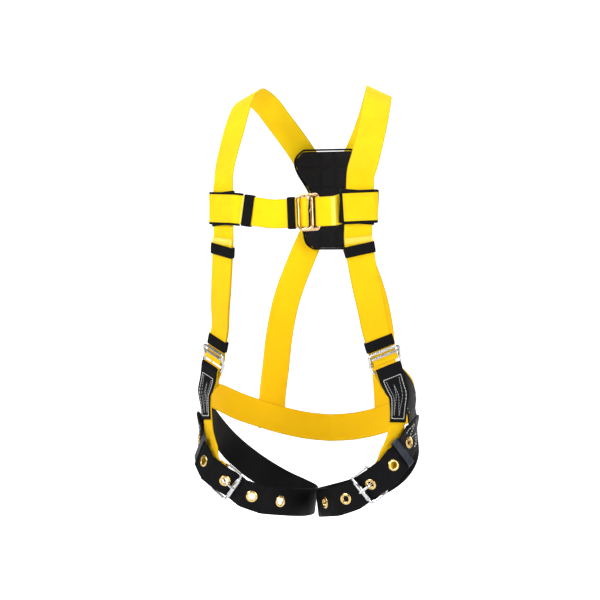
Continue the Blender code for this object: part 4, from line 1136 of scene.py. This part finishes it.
# ------------------------------------------------------------------ bands, wires, turned parts
def band_rings(on, half, low, high, half_width, wall, seam=0.0, puff=0.25, corner=1.9):
    """Rings of a soft flat band round a strap: inside low..high out and +-half_width across.

    half is half its length along; seam pushes the +across edge out; puff swells its face.
    """
    radius = min(corner, (high - low + wall) / 2 - 0.05)
    edge = half_width + wall / 2 - radius
    bottom, top = low - wall / 2 + radius, high + wall / 2 - radius
    loop = []
    for across, out, angle in ((edge, top, 0), (-edge, top, 90),
                               (-edge, bottom, 180), (edge, bottom, 270)):
        push = seam if across > 0 else 0.0
        directions = quarter(0, 0, 1, angle, 5)
        loop += [(across + push + radius * c, out + radius * s, c, s) for c, s in directions]
    dense = []
    for here, after in zip(loop, loop[1:] + loop[:1]):
        parts = max(1, int(np.hypot(after[0] - here[0], after[1] - here[1]) // 4))
        dense += [vec(*here) * (1 - k / parts) + vec(*after) * (k / parts) for k in range(parts)]
    skin_out = wall / 2
    section = [(-half, -0.5 * skin_out), (-half, 0.4 * skin_out), (-half + 0.45, skin_out),
               (-half * 0.5, skin_out + puff * 0.75), (0, skin_out + puff),
               (half * 0.5, skin_out + puff * 0.75), (half - 0.45, skin_out),
               (half, 0.4 * skin_out), (half, -0.5 * skin_out), (half - 0.3, -skin_out),
               (0, -skin_out), (-half + 0.3, -skin_out)]
    rings = []
    for across, out, turn_across, turn_out in dense:
        size = math.hypot(turn_across, turn_out)
        rings.append([on.at(along, out + push * turn_out / size, across + push * turn_across / size)
                      for along, push in section])
    return rings


def soft_band(name, node, on, half, low, high, half_width, wall, material, sign=1, **shape):
    rings = band_rings(on, half, low, high, half_width, wall, **shape)
    settle(solid(name, rings, True, material, sign), node)


ROUND = oval(ROD, ROD, 20)


def wire(name, node, points, section, first_axis, material, sign=1, closed=True, scale=None,
         crossbar=None):
    """crossbar: (frame, (along, out), half length) of a round bar joined in."""
    rings = transport(points, section, first_axis, closed, scale)
    obj = solid(name, rings, closed, material, sign)
    if crossbar:
        on, place, half = crossbar
        line = [on.at(*place, across) for across in (-half, 0.0, half)]
        rings = transport(line, ROUND, on.along, False)
        unite(obj, solid(f"{name}_join", rings, False, material, sign))
    settle(obj, node)


def turned(name, node, on, profile, sides, material, sign=1):
    """Closed profile [(radius, out)] turned about the frame's out axis."""
    angles = [2 * math.pi * i / sides for i in range(sides)]
    rings = [[on.at(radius * math.cos(a), out, radius * math.sin(a)) for radius, out in profile]
             for a in angles]
    settle(solid(name, rings, True, material, sign), node)


# ------------------------------------------------------------------ torso webbing
HEM_EXTRA = 1.3
for side, sign in SIDES:
    strap = Strap(shoulder_path(sign), step=3.2, guard=((150, 190),))
    # The free end comes first and runs down the front, so its outer face is the lower one.
    obj = strap.mesh(f"shoulder_webbing_{side}", [YELLOW_WEB, YELLOW_HEM_HIGHLIGHT], sign,
                     hem=(0, 9.5, HEM_EXTRA, -1))
    settle(obj, f"shoulder_strap_{side}")
    stitching(f"shoulder_hem_stitches_{side}", strap, [[(6.6, -20), (6.6, 20)]], YELLOW_THREAD,
              sign, face=-1, base=HALF_T + HEM_EXTRA)
    start, end, half = strap.length - 40, strap.length - 5, 17
    box_cross = [[(start, -half), (end, -half), (end, half), (start, half), (start, -half)],
                 [(start, -half), (end, half)], [(start, half), (end, -half)]]
    stitching(f"back_end_stitches_{side}", strap, box_cross, BLACK_THREAD, sign)

# ------------------------------------------------------------------ chest webbing
chest_right = Strap(chest_path_right(), step=2.6, calm=2)
obj = chest_right.mesh("chest_webbing_right", [YELLOW_WEB, YELLOW_HEM_HIGHLIGHT],
                       hem=(chest_right.length - 8.5, chest_right.length, 1.1, 1))
settle(obj, "chest_strap_right")
chest_left = Strap(chest_path_left(), step=2.6, calm=2)
obj = chest_left.mesh("chest_webbing_left", [YELLOW_WEB, YELLOW_HEM_HIGHLIGHT], hem=(0, 6.0, 0.0, 1))
settle(obj, "chest_strap_left")

for side, strap, sign in (("left", chest_left, 1), ("right", chest_right, -1)):
    start, end = sorted(strap.near(sleeve_place(sign, a, CHEST_PLY)) for a in (-16, 26))
    box = [(start, -18.5), (end, -18.5), (end, 18.5), (start, 18.5), (start, -18.5)]
    stitching(f"chest_patch_stitches_{side}", strap, [box], YELLOW_THREAD,
              face=strap.facing((start + end) / 2, mirrored(SLEEVE.out, sign)),
              pitch=3.6, length=2.6, radius=0.36)

# Black edges round the sewn patches over the chest sleeves: painted shade, dark lines laid where shade
# falls along the patch edges.
outermost = -CHEST_EDGE - GAP - CHEST_PLY
fold = chest_left.near(sleeve_place(1, outermost, 0.0))
end, edge = chest_left.length - 0.8, HALF_W + 1.1
shade_line_piping("chest_patch_shade_line_left", chest_left,
       [(fold, -edge), (end, -edge), (end, edge), (fold, edge), (fold, -edge)], closed=True)
fold = chest_right.near(sleeve_place(-1, outermost, 0.0))
end = chest_right.near(OUTER_RUN[0])
for k, side_edge in enumerate((-edge, edge)):
    shade_line_piping(f"chest_patch_binding_right_{k + 1}", chest_right,
           [(fold, side_edge), (end, side_edge)], half_width=1.9)

for side, sign in SIDES:
    soft_band(f"chest_sleeve_cloth_{side}", f"chest_sleeve_{side}", SLEEVE, 26.0, -SLEEVE_GAP,
              SLEEVE_GAP, SLEEVE_HALF, SLEEVE_WALL, SLEEVE_CLOTH, sign,
              seam=SEAM if sign > 0 else 0.0, puff=0.15, corner=1.2)

ELASTIC_WALL = 1.3
reach = CHEST_HALF + HALF_T + 0.5
for name, on, half in (("chest_keeper_inner", INNER_KEEPER, 6.0),
                       ("chest_keeper_outer", OUTER_KEEPER, 8.0)):
    soft_band(f"{name}_elastic", name, on, half, -reach, reach, HALF_W + 0.8, ELASTIC_WALL,
              ELASTIC)

# ------------------------------------------------------------------ chest buckle
LINK_HALF = 26.0
wire("chest_female_frame", "chest_buckle_frame",
     rounded_loop(CHEST, *FRAME_BARS, half=26.5, out=0.0, radius=4.0), ROUND, CHEST.out, GOLD)
wire("chest_male_link", "chest_buckle_link",
     rounded_loop(CHEST, LINK_BARS[0], LINK_BARS[2], LINK_HALF, LINK_OUT, radius=6.0),
     ROUND, CHEST.out, GOLD, crossbar=(CHEST, (LINK_BARS[1], LINK_OUT), LINK_HALF))

# ------------------------------------------------------------------ hip adjusters
ADJUSTER_HALF, ADJUSTER_CORNER = 27.0, 4.0


def adjuster_line():
    """Loop whose side rails step between the heights of the bars."""
    side, corner = ADJUSTER_HALF - ADJUSTER_CORNER, ADJUSTER_CORNER
    half = quarter(TOP_BAR[0] - corner, side, corner, 0, 8)
    half += [(along, ADJUSTER_HALF) for along in (4.0, 2.0, 0.0, -2.0, -5.0, -7.0, -9.0, -11.0)]
    half += quarter(LOW_BAR[0] + corner, side, corner, 90, 8)
    places = half + [(along, -across) for along, across in half[::-1]]
    rail = list(zip(LOW_BAR, MID_BAR, KNURL_BAR, TOP_BAR))
    line = [ADJUSTER.at(along, np.interp(along, *rail), across) for along, across in places]
    return relax(even(line, 1.2), 3)


def knurled(on, centre, radius, half):
    """Rings of a bar with a diamond knurl between plain ends."""
    rings = []
    sides, depth = 28, 0.16
    steps = int(half * 2 / 0.6)
    for i in range(steps + 1):
        across = -half + 2 * half * i / steps
        end = 0.86 if i in (0, steps) else 1.0
        ring = []
        for k in range(sides):
            a = 2 * math.pi * k / sides
            raised = 0.0
            if abs(across) <= half - 3.0:
                raised = depth * math.cos(7 * a + across * 2.6) * math.cos(7 * a - across * 2.6)
            size = (radius - depth + raised) * end
            ring.append(on.at(centre[0] + size * math.cos(a), centre[1] + size * math.sin(a),
                              across))
        rings.append(ring)
    return rings


ADJUSTER_LINE = adjuster_line()
for side, sign in SIDES:
    wire(f"hip_adjuster_loop_{side}", f"hip_adjuster_frame_{side}", ADJUSTER_LINE, ROUND,
         ADJUSTER.out, STEEL, sign, crossbar=(ADJUSTER, MID_BAR, ADJUSTER_HALF))
    settle(solid(f"hip_adjuster_knurl_{side}", knurled(ADJUSTER, KNURL_BAR, ROD, 24.0), False,
                 STEEL, sign), f"hip_adjuster_bar_{side}")
    for name, on, below, above in (("hip_keeper", HIP_KEEPER, 1.3, 0.6),
                                   ("torso_keeper", TORSO_KEEPER, 0.6, 1.4)):
        soft_band(f"{name}_elastic_{side}", f"{name}_{side}", on, 8.5, -HALF_T - below,
                  PLY + HALF_T + above, HALF_W + 0.7, ELASTIC_WALL, ELASTIC, sign)

# ------------------------------------------------------------------ leg loop straps
BUCKLE_PATH = buckle_path()
plain_strap = Strap(BUCKLE_PATH, step=2.6, calm=2)
RIDGE_FROM = plain_strap.near(hip(-50.2, -226, 1.5)[:3])
RIDGE_TO = plain_strap.near(BUCKLE.at(14, 3.0))
RIDGE_FACE = plain_strap.facing(RIDGE_FROM, BUCKLE.out)
inward = (plain_strap.at(RIDGE_FROM, 10) - plain_strap.at(RIDGE_FROM, 0))[0] < 0
RIDGE_SIDE = 9.0 if inward else -9.0


def ridge(dist, side):
    """A soft lengthwise fold between the patch and the buckle."""
    share = smooth_step(min(dist - RIDGE_FROM + 10, RIDGE_TO - dist) / 18.0)
    away = side - RIDGE_SIDE
    crest, trough = 1.5 * math.exp(-(away / 3.4) ** 2), 0.9 * math.exp(-(away / 9.0) ** 2)
    return RIDGE_FACE * share * (crest - trough)


def pinched(_, side, point, across):
    """Down from the adjuster the webbing is gathered towards the outside of the hip."""
    share = smooth_step((-108.0 - point[2]) / 78.0)
    share *= 1 - 0.9 * smooth_step_squared((-198.0 - point[2]) / 50.0)
    return side * (1 - 0.62 * share) if side * across[0] < 0 else side


def smooth_step_squared(share):
    """Smooth step, easing the gather off near the buckle."""
    return smooth_step(share)


BUCKLE_STRAP = Strap(BUCKLE_PATH, step=2.6, calm=2, lift=ridge, gather=pinched)
LEG_SHAPE = dict(straight=LEG_FLATS, calm=4, guard=[(hole - 10, hole + 10) for hole in HOLES])
LEG_LENGTH = Strap(LEG_PATH, **LEG_SHAPE).length
TIP = 19.0              # length of the rounded tip


def rounded_tip(dist, side, *_):
    """The free end is cut round at its tip."""
    share = np.clip((dist - (LEG_LENGTH - TIP)) / TIP, 0, 1)
    return side * (0.34 + 0.66 * math.sqrt(1 - share * share))


LEG_STRAP = Strap(LEG_PATH, gather=rounded_tip, **LEG_SHAPE)
PATCH = Strap(PATCH_PATH, step=2.6, calm=2, gather=pinched)
LEG_FACE = LEG_STRAP.facing(HOLES[3], EYELETS[3].out)


def leg_loop_webbing(side, sign):
    obj = BUCKLE_STRAP.mesh(f"buckle_webbing_{side}", [YELLOW_WEB], sign)
    slot = [(-NOTCH, -9.0), (NOTCH, -9.0), (NOTCH, 9.0), (-NOTCH, 9.0)]
    boolean(obj, "DIFFERENCE", [block("slot_tool", BUCKLE, slot, -9.0, 9.0, YELLOW_WEB, sign)])
    settle(obj, f"buckle_strap_{side}")
    settle(PATCH.mesh(f"hip_patch_webbing_{side}", [BLACK_WEB], sign), f"hip_patch_{side}")
    obj = LEG_STRAP.mesh(f"leg_webbing_{side}", [BLACK_WEB], sign)
    angles = [2 * math.pi * k / 24 for k in range(24)]
    hole = [(HOLE_R * math.sin(a), HOLE_R * math.cos(a)) for a in angles]
    boolean(obj, "DIFFERENCE", [block(f"hole_tool_{k}", on, hole, -3.0, 3.0, BLACK_WEB, sign)
                                for k, on in enumerate(EYELETS)])
    settle(obj, f"leg_strap_{side}")


def leg_loop_stitches(side, sign):
    """Box and W on the patch, rows and a W on the free end, tacks on the hip ply."""
    shared = dict(sign=sign, body=f"leg_loop_{side}", slot="black_webbing")
    start, end = 20.0, PATCH.length - 6.0
    face = PATCH.facing(60, ADJUSTER.out)
    box = [(start, -16), (end, -16), (end, 16), (start, 16), (start, -16)]
    zigzag = [(start + 3, -12), (end - 5, -6.5), (start + 12, 0), (end - 5, 6.5), (start + 3, 12)]
    stitching(f"patch_box_stitches_{side}", PATCH, [box], WHITE_THREAD, face=face,
              pitch=3.6, length=3.1, radius=0.55, **shared)
    stitching(f"patch_zigzag_stitches_{side}", PATCH, [zigzag], GREY_THREAD, face=face,
              pitch=4.2, length=3.4, radius=0.5, **shared)
    end = LEG_STRAP.length
    rows = [[(end - 10, -14), (end - 10, 14)], [(end - 15, 16), (end - 15, -16)]]
    stitching(f"leg_end_stitches_{side}", LEG_STRAP, rows, GREY_THREAD, face=LEG_FACE,
              radius=0.4, **shared)
    lines = [[(end - 46, -15), (end - 20, -15)], [(end - 46, -15), (end - 22, -6)],
             [(end - 44, 3), (end - 22, -6)], [(end - 44, 3), (end - 22, 13)],
             [(end - 46, 15), (end - 22, 15)]]
    stitching(f"leg_end_box_{side}", LEG_STRAP, lines, WHITE_THREAD, face=LEG_FACE,
              pitch=4.4, length=3.6, radius=0.5, **shared)
    tacks = [[(dist, edge), (dist + 7, edge + 1.5)] for dist, edge in
             ((58, -19), (72, -18), (90, -19), (64, 16), (82, 17), (104, 17))]
    stitching(f"hip_tack_stitches_{side}", LEG_STRAP, tacks, WHITE_THREAD,
              face=LEG_STRAP.facing(70, (1.0, 0, 0)), pitch=7.5, length=6.0, radius=0.5, **shared)


# ------------------------------------------------------------------ leg loop hardware
def eyelet_profile():
    """(radius, out): rolled rim, upper flange, barrel in the hole, lower flange."""
    bore, face, barrel = EYELET_BORE, HALF_T + 0.3, HOLE_R - 0.45
    return [
        (bore, -face - 0.45), (bore - 0.05, 0.0), (bore, face + 0.35),
        (bore + 0.35, face + 0.95), (bore + 1.2, face + 1.25), (bore + 2.3, face + 1.1),
        (EYELET_R - 0.7, face + 0.6), (EYELET_R - 0.1, face + 0.25), (EYELET_R, face),
        (barrel + 0.1, face - 0.02), (barrel, face - 0.2), (barrel, -face + 0.2),
        (barrel + 0.1, -face + 0.02), (EYELET_R - 0.2, -face), (EYELET_R, -face - 0.25),
        (EYELET_R - 0.4, -face - 0.6), (bore + 1.4, -face - 0.85), (bore + 0.4, -face - 0.8)]


# Half of the roller's profile (radius, place along its axis), with one groove.
ROLLER_END = [(2.65, -17.5), (3.7, -17.5), (ROLLER_R, -17.0), (ROLLER_R, -14.6), (3.9, -14.3),
              (3.9, -13.7), (ROLLER_R, -13.4)]
ROLLER_PROFILE = ROLLER_END + [(radius, -place) for radius, place in ROLLER_END[::-1]]
# The tongue curls round its bar, then runs out over the roller: (along, out).
CURL_R = ROD + 1.75
CURL = [(CURL_R * math.cos(math.radians(a)), CURL_R * math.sin(math.radians(a)))
        for a in range(128, -101, -12)]
TONGUE = [(-6.2, -2.2), (-9.6, 0.1), (-12.4, 2.6), (-15.6, 4.9), (-19.5, 5.85),
          (-BUCKLE_R, 5.85), (-BUCKLE_R - 5.0, 5.55)]
TONGUE_LINE = relax(even([BUCKLE.at(*place) for place in CURL + TONGUE], 0.9, False), 3, False)
TONGUE_TAPER = np.ones(len(TONGUE_LINE))
TONGUE_TAPER[[0, 1, -2, -1]] = 0.8, 0.94, 0.86, 0.55


def leg_loop_hardware(side, sign):
    for k, on in enumerate(EYELETS):
        turned(f"eyelet_ring_{side}_{k + 1}", f"eyelet_{side}_{k + 1}", on, eyelet_profile(), 36,
               BRASS, sign)
    loop = rounded_loop(BUCKLE, -BUCKLE_R, 0.0, BUCKLE_HALF, out=0.0, radius=3.4, segments=9)
    wire(f"leg_buckle_wire_{side}", f"leg_buckle_frame_{side}", loop, ROUND, BUCKLE.out, STEEL,
         sign)
    wire(f"leg_buckle_prong_{side}", f"leg_buckle_tongue_{side}", TONGUE_LINE,
         oval(1.9, 1.4, 16, 2.6), BUCKLE.across, STEEL, sign, closed=False, scale=TONGUE_TAPER)
    axle = Frame(BUCKLE.at(-BUCKLE_R), BUCKLE.out, BUCKLE.across)
    turned(f"leg_buckle_tube_{side}", f"leg_buckle_roller_{side}", axle, ROLLER_PROFILE, 32,
           STEEL, sign)
    soft_band(f"leg_tail_loop_{side}", f"leg_tail_keeper_{side}", LEG_KEEPER, 7.0,
              -HALF_T - 0.5, HALF_T + 0.5, HALF_W + 0.8, 1.6, KEEPER_PLASTIC, sign, puff=0.1)


for side, sign in SIDES:
    leg_loop_webbing(side, sign)
    leg_loop_stitches(side, sign)
    leg_loop_hardware(side, sign)

# ------------------------------------------------------------------ sub-pelvic strap
# Each half is the seat strap mirrored to its side; the halves meet in the middle plane.
seat = Strap(SEAT_PATH, step=3.2, calm=2)
for side, sign in SIDES:
    obj = seat.mesh(f"sub_pelvic_webbing_{side}", [YELLOW_WEB], sign)
    points = get_points(obj.data)
    points[np.argsort(np.abs(points[:, 0]))[:STRAP_RING], 0] = 0.0
    set_points(obj.data, points)
    obj.data.update()
    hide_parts("sub_pelvic_strap")
    start, end = [tuple((mirrored(seat.at(dist, 0), sign) - ORIGIN) / 1000)
                  for dist in (18, seat.length * 0.62)]
    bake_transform(obj)


# ------------------------------------------------------------------ dorsal pad
def pad_channel(x, height):
    """How deep a sewn channel is at a place on the pad, 0 to 1."""
    from_upright = abs(abs(x) - 13.0)
    from_level = abs(((height + 200) % 34.0) - 17.0) + 0.6
    return math.exp(-(min(from_upright, from_level) / 2.6) ** 2)


def swelled_cover(pad):
    """The pad's cloth cover blown up over its foam, or None if the cloth came to nothing."""
    scene = bpy.context.scene
    frames = 20
    furthest = 0.0035       # longest move kept, m
    cover = bpy.data.objects.new("pad_cover", pad.data.copy())
    scene.collection.objects.link(cover)
    remesh = cover.modifiers.new("grid", "REMESH")
    remesh.mode = "VOXEL"
    remesh.voxel_size = 0.0035
    cover.data = modified_mesh(cover)
    before = get_points(cover.data)
    modifier = cover.modifiers.new("cover", "CLOTH")
    cloth = modifier.settings
    cloth.quality = 6
    cloth.mass = 0.25
    cloth.tension_stiffness = cloth.compression_stiffness = 25.0
    cloth.bending_stiffness = 2.0
    cloth.use_pressure = True
    cloth.uniform_pressure_force = 4.0
    cloth.effector_weights.gravity = 0.0
    modifier.point_cache.frame_start, modifier.point_cache.frame_end = 1, frames
    for k in range(1, frames + 1):
        scene.frame_set(k)
    mesh = mesh_of(cover)
    scene.frame_set(1)
    bpy.data.objects.remove(cover, do_unlink=True)
    if len(mesh.vertices) != len(before):
        return None
    move = get_points(mesh) - before
    if not np.isfinite(move).all():
        return None
    reach = np.linalg.norm(move, axis=1)
    move *= (np.minimum(reach, furthest) / np.maximum(reach, 1e-9))[:, None]
    move[:, 1] = np.minimum(move[:, 1], 0.0)     # the face under the guides stays put
    move[:, 0] *= 0.4
    move[:, 2] *= 0.4
    set_points(mesh, before + move)
    return mesh


def blown(pad):
    """Swell the cover, then pull it down along the sewn channels; False if it came to nothing."""
    cover = swelled_cover(pad)
    if cover is None:
        return False
    pad.data = cover
    modifier = pad.modifiers.new("fine", "SUBSURF")
    modifier.levels = modifier.render_levels = 1
    fine = modified_mesh(pad)
    pad.data = fine
    points = get_points(fine).astype(float) * 1000.0 + ORIGIN
    for point in points:
        x, y, height = point[0], point[1], point[2] - RING_BAR[2]
        rim = min(pad_half(height) - abs(x), height - PAD_LOW, PAD_HIGH - height)
        dent = pad_channel(x, height) * float(np.clip(rim / 6.0, 0, 1))
        depth = pad_depth(height)
        point[1] += 2.6 * dent if y < depth - 1.0 else -0.25 * dent
        point[1] = min(point[1], depth + PAD_CROWN)
    set_points(fine, (points - ORIGIN) / 1000.0)
    layer = fine.uv_layers.get("UVMap") or fine.uv_layers.new(name="UVMap")
    index = np.zeros(len(fine.loops), np.int32)
    fine.loops.foreach_get("vertex_index", index)
    uvs = points[index][:, [0, 2]] / 10.0
    layer.data.foreach_set("uv", uvs.astype(np.float32).ravel())
    if not fine.materials:          # the remesh may drop the material
        fine.materials.append(PAD_CLOTH)
    fine.shade_smooth()
    fine.update()
    return True


def pad_piece(quilted=True):
    """Foam pad in cloth, with its edge line: flat outer face, crowned towards the wearer."""
    heights = np.linspace(PAD_LOW, PAD_HIGH, 61)
    halves = relax([pad_half(height) for height in heights], 3, False)
    columns = np.sin(np.linspace(-math.pi / 2, math.pi / 2, 33))
    filling = 3.6 if quilted else 2.4
    outer, inner = [], []
    for height, half in zip(heights, halves):
        rise = min(1.0, (height - PAD_LOW) / 10.0, (PAD_HIGH - height) / 10.0)
        end = math.sqrt(max(0.0, 1 - (1 - rise) ** 2))
        depth = pad_depth(height)
        for column in columns:
            x = column * half
            rim = math.sqrt(max(0.0, 1 - max(0.0, (abs(x) - half + 7.0) / 7.0) ** 2))
            fat = min(end, rim)
            dent = pad_channel(x, height) * fat if quilted else 0.0
            z = RING_BAR[2] + height
            thick = (2.2 + filling * fat) * (0.25 + 0.75 * fat)
            outer.append((x, depth + PAD_CROWN * fat - 0.25 * dent, z))
            inner.append((x, depth - thick + 2.3 * dent, z))
    rows, cols = len(heights), len(columns)
    count = rows * cols
    verts = np.array(outer + inner)
    faces = []
    for base in (0, count):
        for i in range(rows - 1):
            for j in range(cols - 1):
                k = base + i * cols + j
                faces.append((k, k + 1, k + cols + 1, k + cols))
    rim = list(range(cols - 1))
    rim += [i * cols + cols - 1 for i in range(rows - 1)]
    rim += [(rows - 1) * cols + j for j in range(cols - 1, 0, -1)]
    rim += [i * cols for i in range(rows - 1, 0, -1)]
    faces += [(a, b, count + b, count + a) for a, b in zip(rim, rim[1:] + rim[:1])]
    corners = [verts[k][[0, 2]] / 10 for face in faces for k in face]
    obj = finish_mesh("dorsal_pad_cloth", verts, faces, corners, [PAD_CLOTH], smooth=70)
    return obj, (verts[rim] + verts[np.array(rim) + count]) / 2


pad, pad_edge = pad_piece(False)
if not blown(pad):
    bpy.data.objects.remove(pad, do_unlink=True)
    pad, pad_edge = pad_piece()
settle(pad, "dorsal_pad")
rings = transport(relax(even(pad_edge, 2.2), 4), oval(1.5, 2.6, 14, 2.6), (0, 0, 1))
settle(solid("dorsal_pad_binding", rings, True, BINDING), None, "webbing")

# Strap guides, each with a foot down to the pad's face; the foot's outline is (across, along).
FOOT = [(-16, -4.4), (-15, -5.4), (15, -5.4), (16, -4.4),
        (16, 4.4), (15, 5.4), (-15, 5.4), (-16, 4.4)]
GUIDE_WALL = 1.3
for name, on, sign in guide_frames():
    foot = on.origin[1] - PAD_FACE - 0.35
    rings = band_rings(on, 6.0, -HALF_T - 0.7, HALF_T + 0.7, HALF_W + 0.9, GUIDE_WALL,
                       puff=0.05, corner=1.6)
    obj = solid(f"{name}_moulding", rings, True, PLASTIC, sign)
    unite(obj, block(f"{name}_foot", on, FOOT, -foot, -HALF_T - GUIDE_WALL, PLASTIC, sign))
    settle(obj, name)


# ------------------------------------------------------------------ dorsal D-ring
def ring_line():
    """Half the hinge bar, two bends out to the bow plane, round the bow, and back."""
    bend = 6.0
    drop = RING_DROP - RING_HALF
    half = [(x, y, 0) for x, y in quarter(RING_HALF - bend, bend, bend, -90, 8)]
    half += [(RING_HALF, y, z) for y, z in quarter(RING_REACH - bend, -bend, bend, 90, 8, -90)]
    half.append((RING_HALF, RING_REACH, -drop * 0.6))
    angles = [math.radians(180 * k / 48) for k in range(49)]
    bow = [(RING_HALF * math.cos(a), RING_REACH, -drop - RING_HALF * math.sin(a)) for a in angles]
    return RING_BAR + np.array(half + bow + [(-x, y, z) for x, y, z in half[::-1]])


wire("dorsal_ring_forging", "dorsal_d_ring", even(ring_line(), 1.6),
     oval(RING_SECTION, RING_SECTION, 24, 3.6), (0, 1, 0), FORGED)

# ------------------------------------------------------------------ studio (metres)
LIGHT_TARGET = Vector((0.0, -0.15, -0.1))
# Name, place, size, power in watts.
PANELS = [
    ("key_panel", (-1.5, -2.6, 1.5), (1.6, 1.6), 72),
    ("fill_panel", (2.3, -2.2, 0.4), (1.0, 1.6), 40),
    ("top_panel", (0.2, 0.2, 2.4), (2.0, 1.8), 34),
    ("back_panel", (-1.2, 2.4, 1.0), (1.4, 1.6), 26),
    ("back_fill_panel", (1.6, 2.2, 0.2), (1.2, 1.6), 18),
]
for name, place, size, power in PANELS:
    light = bpy.data.lights.new(name, "AREA")
    light.shape = "RECTANGLE"
    light.size, light.size_y = size
    light.energy = power
    obj = bpy.data.objects.new(name, light)
    obj.location = place
    aim = LIGHT_TARGET - Vector(place)
    obj.rotation_euler = aim.to_track_quat("-Z", "Y").to_euler()
    bpy.context.scene.collection.objects.link(obj)


def camera_ray(shader):
    return Value(shader, shader.node("LightPath").outputs["Is Camera Ray"])


def studio_floor():
    """Flat floor swept up into a wall behind the wearer."""
    floor_z = CAD_BOX[0][2] - 0.16
    half, sweep = 9.0, 2.0
    angles = [math.radians(a) for a in range(10, 91, 10)]
    rows = [(-9.0, 0.0), (3.0, 0.0)]
    rows += [(3.0 + sweep * math.sin(a), sweep - sweep * math.cos(a)) for a in angles]
    rows.append((5.0, 7.0))
    verts = [(x, y, floor_z + z) for y, z in rows for x in (-half, half)]
    faces = [(2 * i, 2 * i + 1, 2 * i + 3, 2 * i + 2) for i in range(len(rows) - 1)]
    mesh = bpy.data.meshes.new("studio_floor")
    mesh.from_pydata(verts, [], faces)
    mesh.shade_smooth()
    material, sh = new_material("pale_floor")
    sh.principled({
        "Base Color": sh.mix(sh.noise(scale=3.0), (0.90, 0.90, 0.90), (0.93, 0.93, 0.93)),
        "Roughness": 0.9,
        "Emission Color": (1, 1, 1, 1),
        "Emission Strength": camera_ray(sh) * 0.85 + 0.02,
    })
    mesh.materials.append(material)
    floor = bpy.data.objects.new("studio_floor", mesh)
    bpy.context.scene.collection.objects.link(floor)


def studio_world():
    """White to the camera; upright stripes, brighter above, for reflections."""
    world = bpy.data.worlds.new("studio_world")
    bpy.context.scene.world = world
    world.use_nodes = True
    sh = Shader(world.node_tree)
    x, _, z = sh.parts(sh.node("TexCoord").outputs["Generated"])
    high = z.span(-0.6, 0.9, low=0.06, high=0.6)
    stripe = (x * 7.0).math("SINE").span(-0.1, 0.5, low=0.06, high=1.0)
    seen = camera_ray(sh)
    background = world.node_tree.nodes["Background"]
    sh.put(background, "Strength", high * stripe * (1.0 - seen) + seen * 1.0)
    sh.put(background, "Color", (1, 1, 1, 1))


studio_floor()
studio_world()

camera = bpy.data.cameras.new("camera")
camera.lens = 120.0
camera.sensor_width = 36.0
camera.clip_end = 60.0
camera_object = bpy.data.objects.new("camera", camera)
camera_object.location = (0.8145, -3.2538, -0.089)
camera_object.rotation_euler = (math.pi / 2, 0.0, math.radians(15.0))
bpy.context.scene.collection.objects.link(camera_object)
bpy.context.scene.camera = camera_object
bpy.context.scene.view_settings.view_transform = "Standard"

bpy.context.view_layer.update()
